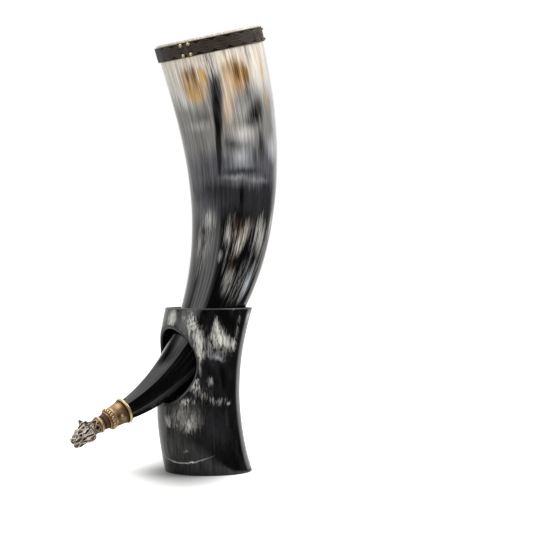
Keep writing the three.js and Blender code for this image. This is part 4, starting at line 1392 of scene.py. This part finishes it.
# Rounded forms from the head's back: length, height, width, nose end, rise and spread, in mm
HEAD_FORMS = (
    (17, 16, 14, 12.5, 0, 0),
    (15, 8.4, 7.4, 19.8, 2.4, 0),
    (6.5, 6.2, 7.2, 20.9, 1.4, 0),
    (13, 5.2, 6.8, 19, -3.1, 0),
    (6, 5, 6.6, 20.6, -2.9, 0),
    (14, 6, 7, 16, -4.2, 0),
    (3.2, 16.6, 15, 3.2, 0.2, 0),
)
# Forms that lie on both sides, in the same order
HEAD_PAIRS = (
    (8.4, 8, 6.6, 8.6, -4.2, 3.6),
    (6.4, 4, 3.6, 13.4, 5.0, 3.0),
    (3.2, 2.6, 2.6, 13.6, 3.2, 4.2),
    (2.2, 1.6, 1.8, 20.4, 3.6, 2.0),
    (7, 2.8, 2.2, 19, 0.9, 3.4),
    (6, 2.4, 2, 18.4, -4.6, 2.6),
)
# Ears, fur and teeth: sizes in mm, and angles
EAR_LENGTH = 6.7
EAR_ROOT, EAR_TIP = 3.8, 0.8  # radii
EAR_PLACE = (4.4, 4.0, 2.6)  # rise, spread and distance from the head's back
EAR_SPLAY = math.radians(14)
EAR_LEAN = math.radians(5)
SKULL_FROM_BACK = 4
SKULL_HALF = (8, 7, 8.5)  # half its height, half its width and half its length
FUR_ROWS = ((6.0, 11, 7.0), (10.0, 9, 7.0))  # distance from the back, locks and length
LOCK_HALF = 1.1
FUR_LIFT = math.radians(15)
FUR_SWIRL = math.radians(12)
TEETH = (13.5, 15.5, 17.5, 19.3)  # distances from the head's back
TOOTH_RISE, TOOTH_SPREAD = -0.5, 2.6
TOOTH_ROOT, TOOTH_TIP, TOOTH_LENGTH = 0.62, 0.1, 1.8


def aimed(origin, direction, scale):
    """A frame that carries +Z along a direction, with a size along each axis."""
    turned = Vector((0, 0, 1)).rotation_difference(direction).to_matrix().to_4x4()
    return Matrix.Translation(origin) @ turned @ Matrix.Diagonal((*scale, 1))


def add_ball(shape, length, height, width, nose, rise, spread):
    """A rounded form whose nose end, rise and spread are given."""
    centre = (rise, spread, nose - length / 2)
    place = Matrix.Translation(centre) @ Matrix.Diagonal((height, width, length, 1))
    bmesh.ops.create_uvsphere(shape, u_segments=24, v_segments=16, radius=0.5, matrix=place)


def add_fur(shape):
    """Rows of pointed locks that sweep back over the skull and cheeks."""
    tall, wide, half_length = SKULL_HALF
    for row, (from_back, locks, length) in enumerate(FUR_ROWS):
        for lock in range(locks):
            angle = math.tau * (lock + 0.5 * (row % 2)) / locks
            bulge = math.sqrt(max(0, 1 - ((from_back - SKULL_FROM_BACK) / half_length) ** 2))
            root = Vector((tall * bulge * math.cos(angle), wide * bulge * math.sin(angle), from_back))
            outward = Vector((math.cos(angle), math.sin(angle), 0))
            aside = Vector((-math.sin(angle), math.cos(angle), 0))
            swirl = FUR_SWIRL * (1 if (lock + row) % 2 else -1)
            lay = outward * math.sin(FUR_LIFT) - Vector((0, 0, math.cos(FUR_LIFT))) + aside * math.tan(swirl)
            place = aimed(root, lay.normalized(), (LOCK_HALF, LOCK_HALF, length / 2))
            bmesh.ops.create_uvsphere(shape, u_segments=10, v_segments=10, radius=1, matrix=place)


def head_lump():
    """The head's forms laid into each other, in mm round the fitting's axis, its back at 0."""
    shape = bmesh.new()
    for form in HEAD_FORMS:
        add_ball(shape, *form)
    rise, spread, from_back = EAR_PLACE
    for side in (-1, 1):
        for *form, aside in HEAD_PAIRS:
            add_ball(shape, *form, side * aside)
        up = Vector((math.cos(EAR_LEAN), side * math.sin(EAR_SPLAY), math.sin(EAR_LEAN))).normalized()
        root = Vector((rise, side * spread, from_back))
        ear = aimed(root + up * EAR_LENGTH / 2, up, (1, 1, 1))
        bmesh.ops.create_cone(
            shape, cap_ends=True, segments=12, radius1=EAR_ROOT, radius2=EAR_TIP, depth=EAR_LENGTH,
            matrix=ear)
        for reach in TEETH:
            tooth = aimed(Vector((TOOTH_RISE, side * TOOTH_SPREAD, reach)), Vector((-1, 0, 0)), (1, 1, 1))
            bmesh.ops.create_cone(
                shape, cap_ends=True, segments=8, radius1=TOOTH_ROOT, radius2=TOOTH_TIP, depth=TOOTH_LENGTH,
                matrix=tooth)
    add_fur(shape)
    return shape


def fused(shape, voxel):
    """One closed skin round overlapping forms."""
    mesh = bpy.data.meshes.new("forms")
    shape.to_mesh(mesh)
    shape.free()
    lump = bpy.data.objects.new("forms", mesh)
    bpy.context.scene.collection.objects.link(lump)
    remesh = lump.modifiers.new("Fuse", "REMESH")
    remesh.mode = "VOXEL"
    remesh.voxel_size = voxel
    bpy.context.view_layer.update()
    skin = bpy.data.meshes.new_from_object(lump.evaluated_get(bpy.context.evaluated_depsgraph_get()))
    bpy.data.objects.remove(lump)
    whole = bmesh.new()
    whole.from_mesh(skin)
    bpy.data.meshes.remove(mesh)
    bpy.data.meshes.remove(skin)
    return whole


def make_head(settings):
    """Fuses the head's forms, roughens them, and cuts the back flat where it meets the collar."""
    fitting = settings.fitting
    start = fitting_starts(fitting)["head"]
    forms = head_lump()
    forms.transform(Matrix.Scale(MM, 4))
    shape = fused(forms, HEAD_VOXEL)
    shape.normal_update()
    for vert in shape.verts:
        x, y, z = vert.co
        hair = noise.noise(Vector((x / HAIR_WIDTH, y / HAIR_WIDTH, z / HAIR_LENGTH)))
        vert.co += vert.normal * HAIR_DEPTH * hair
    shape.transform(Matrix.Rotation(-HEAD_NOD, 4, "Y"))
    cut = bmesh.ops.bisect_plane(
        shape, geom=shape.verts[:] + shape.edges[:] + shape.faces[:], plane_co=(0, 0, 0), plane_no=(0, 0, 1),
        clear_inner=True)
    rim = [part for part in cut["geom_cut"] if isinstance(part, bmesh.types.BMEdge)]
    bmesh.ops.holes_fill(shape, edges=rim, sides=0)
    shape.transform(HornCurve(settings.horn).tip_place() @ Matrix.Translation((0, 0, start)))
    bmesh.ops.recalc_face_normals(shape, faces=shape.faces)
    mark_recesses(shape, passes=16, depth=0.16 * MM)
    metals = [antique_cast(fitting)]
    finish_piece(shape, "beast_head_cast", metals, "horn", ["beast_head"], sharp=75)


# Stage

WHITE = (1, 1, 1, 1)
BLACK = (0, 0, 0, 1)
FLOOR_SIZE = 6
FLOOR_GLOW = 0.9  # what lifts the floor to the backdrop's white, away from the painted shadow pool
GLOSS_GLOW = 0.25  # how much of that glow a gloss sees
# The shadow near the foot is cast by the key softbox and also painted: in this pool the floor's glow is held
# back and its white darkened
SHADOW_HALF = (0.072, 0.2)  # half the shadow's width, and half its depth from the camera
SHADOW_CORE = 0.15  # share of the shadow that keeps its full strength
PAINTED_SHADOW_DEPTH = 0.45  # share of the floor's white that the painted shadow darkens away at its middle
SHADOW_ASIDE = 0.018  # how far to the left of the stand the floor is darkest
PAINTED_REFLECTION_CARD_REACH = (0.06, 0.165)  # where the white card painted into the floor for a gloss begins to end, and where it has ended
PAINTED_REFLECTION_CARD_ASIDE = 0.05  # how far to the left of the stand the middle of that painted white card is
AMBIENT = 0.42  # the world's light on what isn't glossy
GLOSS_CARD = 2.2  # brightness of a soft card that only a gloss sees
GLOSS_CARD_WAY = (-1.2, -0.9, 0.58)  # the way to it: right, away from the camera and up
# Cosines of the angles from its middle, where the card ends and where it is full
GLOSS_CARD_SPREAD = (math.cos(math.radians(38)), math.cos(math.radians(6)))
DARK_SIDE = 0.02  # what a gloss sees on the camera's side
BACKDROP_TURN = math.radians(20)  # how far round to the left the backdrop is centred
# Cosines of the angles from its middle, where the backdrop ends and where it is full
BACKDROP_EDGE = (math.cos(math.radians(75)), math.cos(math.radians(64)))
AIM_HEIGHT = 0.2  # what the softboxes aim at, above the stand's foot
# Softboxes: name, place from their aim (right, away, up), width, height, watts and what doesn't see them
SOFTBOXES = (
    ("Key softbox", (1.1, 0.1, 1.2), 1.3, 1.3, 20, None),
    ("Top gloss card", (-0.45, -0.15, 1.5), 1.8, 1.3, 12.5, "visible_diffuse"),
    ("Front fill", (0, -1.5, 0.25), 0.8, 0.8, 10, "visible_glossy"),
)


def pale_floor(stage, painted_shadow_centre, painted_reflection_card_centre, backdrop_way):
    """Matt white card, as bright as the backdrop, with a soft shadow that the key softbox casts and that is
    also painted: near the foot the glow is held back in a pool and the white darkened.

    For a gloss it is painted with reflections: white towards the backdrop and on a card near the tip
    fitting, and dark elsewhere.
    """
    material, tree, shader = new_material("Matt white card")
    place = add(tree, "TexCoord").outputs["Object"]
    tooth = add(tree, "TexNoise", {"Vector": place, "Scale": 1 / (3 * MM), "Detail": 2})
    bumps = add(tree, "Bump", {"Strength": 0.05, "Distance": 0.1 * MM, "Height": tooth})
    rays = add(tree, "LightPath").outputs
    faint = add(tree, "Math", {0: rays["Is Glossy Ray"], 1: GLOSS_GLOW}, operation="MULTIPLY")
    seen = add(tree, "Math", {0: rays["Is Camera Ray"], 1: faint}, operation="MAXIMUM")
    through = add(tree, "Math", {0: seen, 1: rays["Is Transmission Ray"]}, operation="MAXIMUM")
    pool = add(tree, "Mapping", {
        "Vector": place, "Location": painted_shadow_centre, "Rotation": (0, 0, stage.azimuth),
        "Scale": (*SHADOW_HALF, 1)}, vector_type="TEXTURE")
    from_middle = add(tree, "VectorMath", {0: pool}, operation="LENGTH").outputs["Value"]
    glow = add(tree, "MapRange", {
        "Value": from_middle, "From Min": SHADOW_CORE, "To Max": FLOOR_GLOW},
        interpolation_type="SMOOTHSTEP")
    # Painted shadow: how much of the floor's white the pool darkens away
    painted_shadow = add(tree, "MapRange", {
        "Value": glow, "From Max": FLOOR_GLOW, "To Min": PAINTED_SHADOW_DEPTH, "To Max": 0})
    aside = add(tree, "VectorMath", {0: place, 1: painted_shadow_centre}, operation="SUBTRACT")
    way = add(tree, "VectorMath", {0: aside}, operation="NORMALIZE")
    ahead = add(tree, "VectorMath", {0: way, 1: backdrop_way}, operation="DOT_PRODUCT")
    before = add(tree, "MapRange", {
        "Value": ahead.outputs["Value"], "From Min": BACKDROP_EDGE[0], "From Max": BACKDROP_EDGE[1],
        "To Min": 1 - DARK_SIDE, "To Max": 0}, interpolation_type="SMOOTHSTEP")
    far = add(tree, "VectorMath", {0: place, 1: painted_reflection_card_centre}, operation="DISTANCE")
    beyond = add(tree, "MapRange", {
        "Value": far.outputs["Value"], "From Min": PAINTED_REFLECTION_CARD_REACH[0], "From Max": PAINTED_REFLECTION_CARD_REACH[1]},
        interpolation_type="SMOOTHSTEP")
    off_painted_reflection_card = add(tree, "Math", {0: before, 1: beyond}, operation="MULTIPLY")
    painted_gloss_dark = add(tree, "Math", {0: rays["Is Glossy Ray"], 1: off_painted_reflection_card}, operation="MULTIPLY")
    # Painted darkness: the shadow pool for every ray, and for a gloss the floor off the painted card and
    # away from the backdrop
    dark = add(tree, "Math", {0: painted_gloss_dark, 1: painted_shadow}, operation="MAXIMUM")
    card = add(tree, "Mix", {0: dark, 6: stage.floor, 7: BLACK}, data_type="RGBA")
    kept = add(tree, "Math", {0: 1.0, 1: painted_gloss_dark}, operation="SUBTRACT")
    shown = add(tree, "Math", {0: through, 1: glow}, operation="MULTIPLY")
    lift = add(tree, "Math", {0: shown, 1: kept}, operation="MULTIPLY")
    give(tree, shader, {
        "Base Color": card.outputs[2], "Roughness": 0.9, "Specular IOR Level": 0.1, "Normal": bumps,
        "Emission Color": WHITE, "Emission Strength": lift})
    return material


def studio_world(backdrop_way, card_way):
    """White for the camera; for gloss a white backdrop, a soft card and a dark room behind the camera."""
    world = bpy.data.worlds.new("White studio")
    world.use_nodes = True
    tree = world.node_tree
    tree.nodes.clear()
    rays = add(tree, "LightPath").outputs
    direction = add(tree, "TexCoord").outputs["Generated"]
    facing = add(tree, "VectorMath", {0: direction, 1: backdrop_way}, operation="DOT_PRODUCT")
    backdrop = add(tree, "MapRange", {
        "Value": facing.outputs["Value"], "From Min": BACKDROP_EDGE[0], "From Max": BACKDROP_EDGE[1],
        "To Min": DARK_SIDE, "To Max": 1}, interpolation_type="SMOOTHSTEP")
    to_card = add(tree, "VectorMath", {0: direction, 1: card_way}, operation="DOT_PRODUCT")
    card = add(tree, "MapRange", {
        "Value": to_card.outputs["Value"], "From Min": GLOSS_CARD_SPREAD[0],
        "From Max": GLOSS_CARD_SPREAD[1], "To Max": GLOSS_CARD}, interpolation_type="SMOOTHSTEP")
    around = add(tree, "Math", {0: backdrop, 1: card}, operation="MAXIMUM")
    mirrored = add(tree, "Math", {0: rays["Is Glossy Ray"], 1: rays["Is Transmission Ray"]},
                   operation="MAXIMUM")
    soft = add(tree, "Mix", {0: mirrored, 2: AMBIENT, 3: around})
    strength = add(tree, "Mix", {0: rays["Is Camera Ray"], 2: soft, 3: 1.0})
    light = add(tree, "Background", {"Color": WHITE, "Strength": strength})
    add(tree, "OutputWorld", {"Surface": light})
    return world


def add_softbox(name, place, aim, width, height, power):
    """A rectangular softbox that points from its place to what it lights."""
    lamp = bpy.data.lights.new(name, "AREA")
    lamp.shape = "RECTANGLE"
    lamp.size = width
    lamp.size_y = height
    lamp.energy = power
    box = bpy.data.objects.new(name, lamp)
    box.location = place
    box.rotation_euler = (aim - place).to_track_quat("-Z", "Y").to_euler()
    bpy.context.scene.collection.objects.link(box)
    return box


def make_stage(settings):
    """Sets the camera and, round the stand's foot, the floor, the world and the softboxes."""
    scene = bpy.context.scene
    stage = settings.stage
    tube = StandTube(settings.stand)
    foot = Vector((tube.axis_x, tube.axis_y, 0))
    view = Matrix.Rotation(stage.azimuth, 3, "Z")  # from right, away and up to the model's axes
    camera = bpy.data.cameras.new("Camera")
    camera.sensor_width = 36
    camera.lens = stage.lens
    viewer = bpy.data.objects.new("Camera", camera)
    viewer.location = foot + view @ Vector((stage.aside, -stage.distance, stage.camera_height))
    viewer.rotation_euler = (math.pi / 2, 0, stage.azimuth)
    scene.collection.objects.link(viewer)
    scene.camera = viewer
    shape = bmesh.new()
    bmesh.ops.create_grid(shape, x_segments=2, y_segments=2, size=FLOOR_SIZE)
    mesh = bpy.data.meshes.new("floor")
    shape.to_mesh(mesh)
    shape.free()
    backdrop_way = view @ Vector((-math.sin(BACKDROP_TURN), math.cos(BACKDROP_TURN), 0))
    painted_shadow_centre = foot - view @ Vector((SHADOW_ASIDE, 0, 0))
    painted_reflection_card_centre = foot - view @ Vector((PAINTED_REFLECTION_CARD_ASIDE, 0, 0))
    mesh.materials.append(pale_floor(stage, painted_shadow_centre, painted_reflection_card_centre, backdrop_way))
    floor = bpy.data.objects.new("floor", mesh)
    scene.collection.objects.link(floor)
    scene.world = studio_world(backdrop_way, (view @ Vector(GLOSS_CARD_WAY)).normalized())
    scene.view_settings.view_transform = "Standard"
    aim = foot + Vector((0, 0, AIM_HEIGHT))
    for name, place, width, height, power, unseen_by in SOFTBOXES:
        box = add_softbox(name, aim + view @ Vector(place), aim, width, height, power)
        if unseen_by:
            setattr(box, unseen_by, False)


# Operators


class DRINKINGHORN_OT_stage(Operator):
    """Sets the camera, the lamps, the world and the floor"""

    bl_idname = "drinking_horn.stage"
    bl_label = "Stage"
    bl_options = {"REGISTER", "UNDO"}

    def execute(self, context):
        make_stage(context.scene.drinking_horn)
        return {"FINISHED"}


class DRINKINGHORN_OT_horn(Operator):
    """Makes the polished horn and its hollow"""

    bl_idname = "drinking_horn.horn"
    bl_label = "Horn"
    bl_options = {"REGISTER", "UNDO"}

    def execute(self, context):
        make_horn(context.scene.drinking_horn)
        return {"FINISHED"}


class DRINKINGHORN_OT_stand(Operator):
    """Makes the stand, a section of horn with an oval hole"""

    bl_idname = "drinking_horn.stand"
    bl_label = "Stand"
    bl_options = {"REGISTER", "UNDO"}

    def execute(self, context):
        make_stand(context.scene.drinking_horn)
        return {"FINISHED"}


class DRINKINGHORN_OT_rim_band(Operator):
    """Makes the embossed leather strips round the rim"""

    bl_idname = "drinking_horn.rim_band"
    bl_label = "Rim band"
    bl_options = {"REGISTER", "UNDO"}

    def execute(self, context):
        make_band(context.scene.drinking_horn)
        return {"FINISHED"}


class DRINKINGHORN_OT_rim_tacks(Operator):
    """Makes the brass tacks beside the band's seams"""

    bl_idname = "drinking_horn.rim_tacks"
    bl_label = "Rim tacks"
    bl_options = {"REGISTER", "UNDO"}

    def execute(self, context):
        make_tacks(context.scene.drinking_horn)
        return {"FINISHED"}


class DRINKINGHORN_OT_tip_fitting(Operator):
    """Makes the ferrule, its pins, the rope ring, the neck and the plain ring"""

    bl_idname = "drinking_horn.tip_fitting"
    bl_label = "Tip fitting"
    bl_options = {"REGISTER", "UNDO"}

    def execute(self, context):
        make_fitting(context.scene.drinking_horn)
        return {"FINISHED"}


class DRINKINGHORN_OT_collar(Operator):
    """Makes the knotwork collar behind the head"""

    bl_idname = "drinking_horn.collar"
    bl_label = "Knotwork collar"
    bl_options = {"REGISTER", "UNDO"}

    def execute(self, context):
        make_collar(context.scene.drinking_horn)
        return {"FINISHED"}


class DRINKINGHORN_OT_head(Operator):
    """Makes the cast animal's head"""

    bl_idname = "drinking_horn.head"
    bl_label = "Animal's head"
    bl_options = {"REGISTER", "UNDO"}

    def execute(self, context):
        make_head(context.scene.drinking_horn)
        return {"FINISHED"}


OPERATORS = (
    DRINKINGHORN_OT_stage, DRINKINGHORN_OT_horn, DRINKINGHORN_OT_stand, DRINKINGHORN_OT_rim_band,
    DRINKINGHORN_OT_rim_tacks, DRINKINGHORN_OT_tip_fitting, DRINKINGHORN_OT_collar, DRINKINGHORN_OT_head,
)


class DRINKINGHORN_PT_panel(Panel):
    """Lists the drinking horn's pieces and settings"""

    bl_label = "Drinking Horn"
    bl_space_type = "VIEW_3D"
    bl_region_type = "UI"
    bl_category = "Drinking Horn"

    def draw(self, context):
        settings = context.scene.drinking_horn
        for operator in OPERATORS:
            self.layout.operator(operator.bl_idname)
        for group in (settings.horn, settings.colours, settings.stand, settings.band, settings.tacks,
                      settings.fitting, settings.stage):
            box = self.layout.box()
            for name in group.bl_rna.properties.keys():
                if name not in {"rna_type", "name"}:
                    box.prop(group, name)


CLASSES = (
    HornSettings, HornColours, StandSettings, BandSettings, TackSettings, FittingSettings, StageSettings,
    DrinkingHornSettings, *OPERATORS, DRINKINGHORN_PT_panel,
)


def register():
    for cls in CLASSES:
        bpy.utils.register_class(cls)
    bpy.types.Scene.drinking_horn = PointerProperty(type=DrinkingHornSettings)


def unregister():
    del bpy.types.Scene.drinking_horn
    for cls in reversed(CLASSES):
        bpy.utils.unregister_class(cls)


def main():
    register()
    bpy.ops.drinking_horn.stage()
    bpy.ops.drinking_horn.horn()
    bpy.ops.drinking_horn.stand()
    bpy.ops.drinking_horn.rim_band()
    bpy.ops.drinking_horn.rim_tacks()
    bpy.ops.drinking_horn.tip_fitting()
    bpy.ops.drinking_horn.collar()
    bpy.ops.drinking_horn.head()


if __name__ == "__main__":
    main()
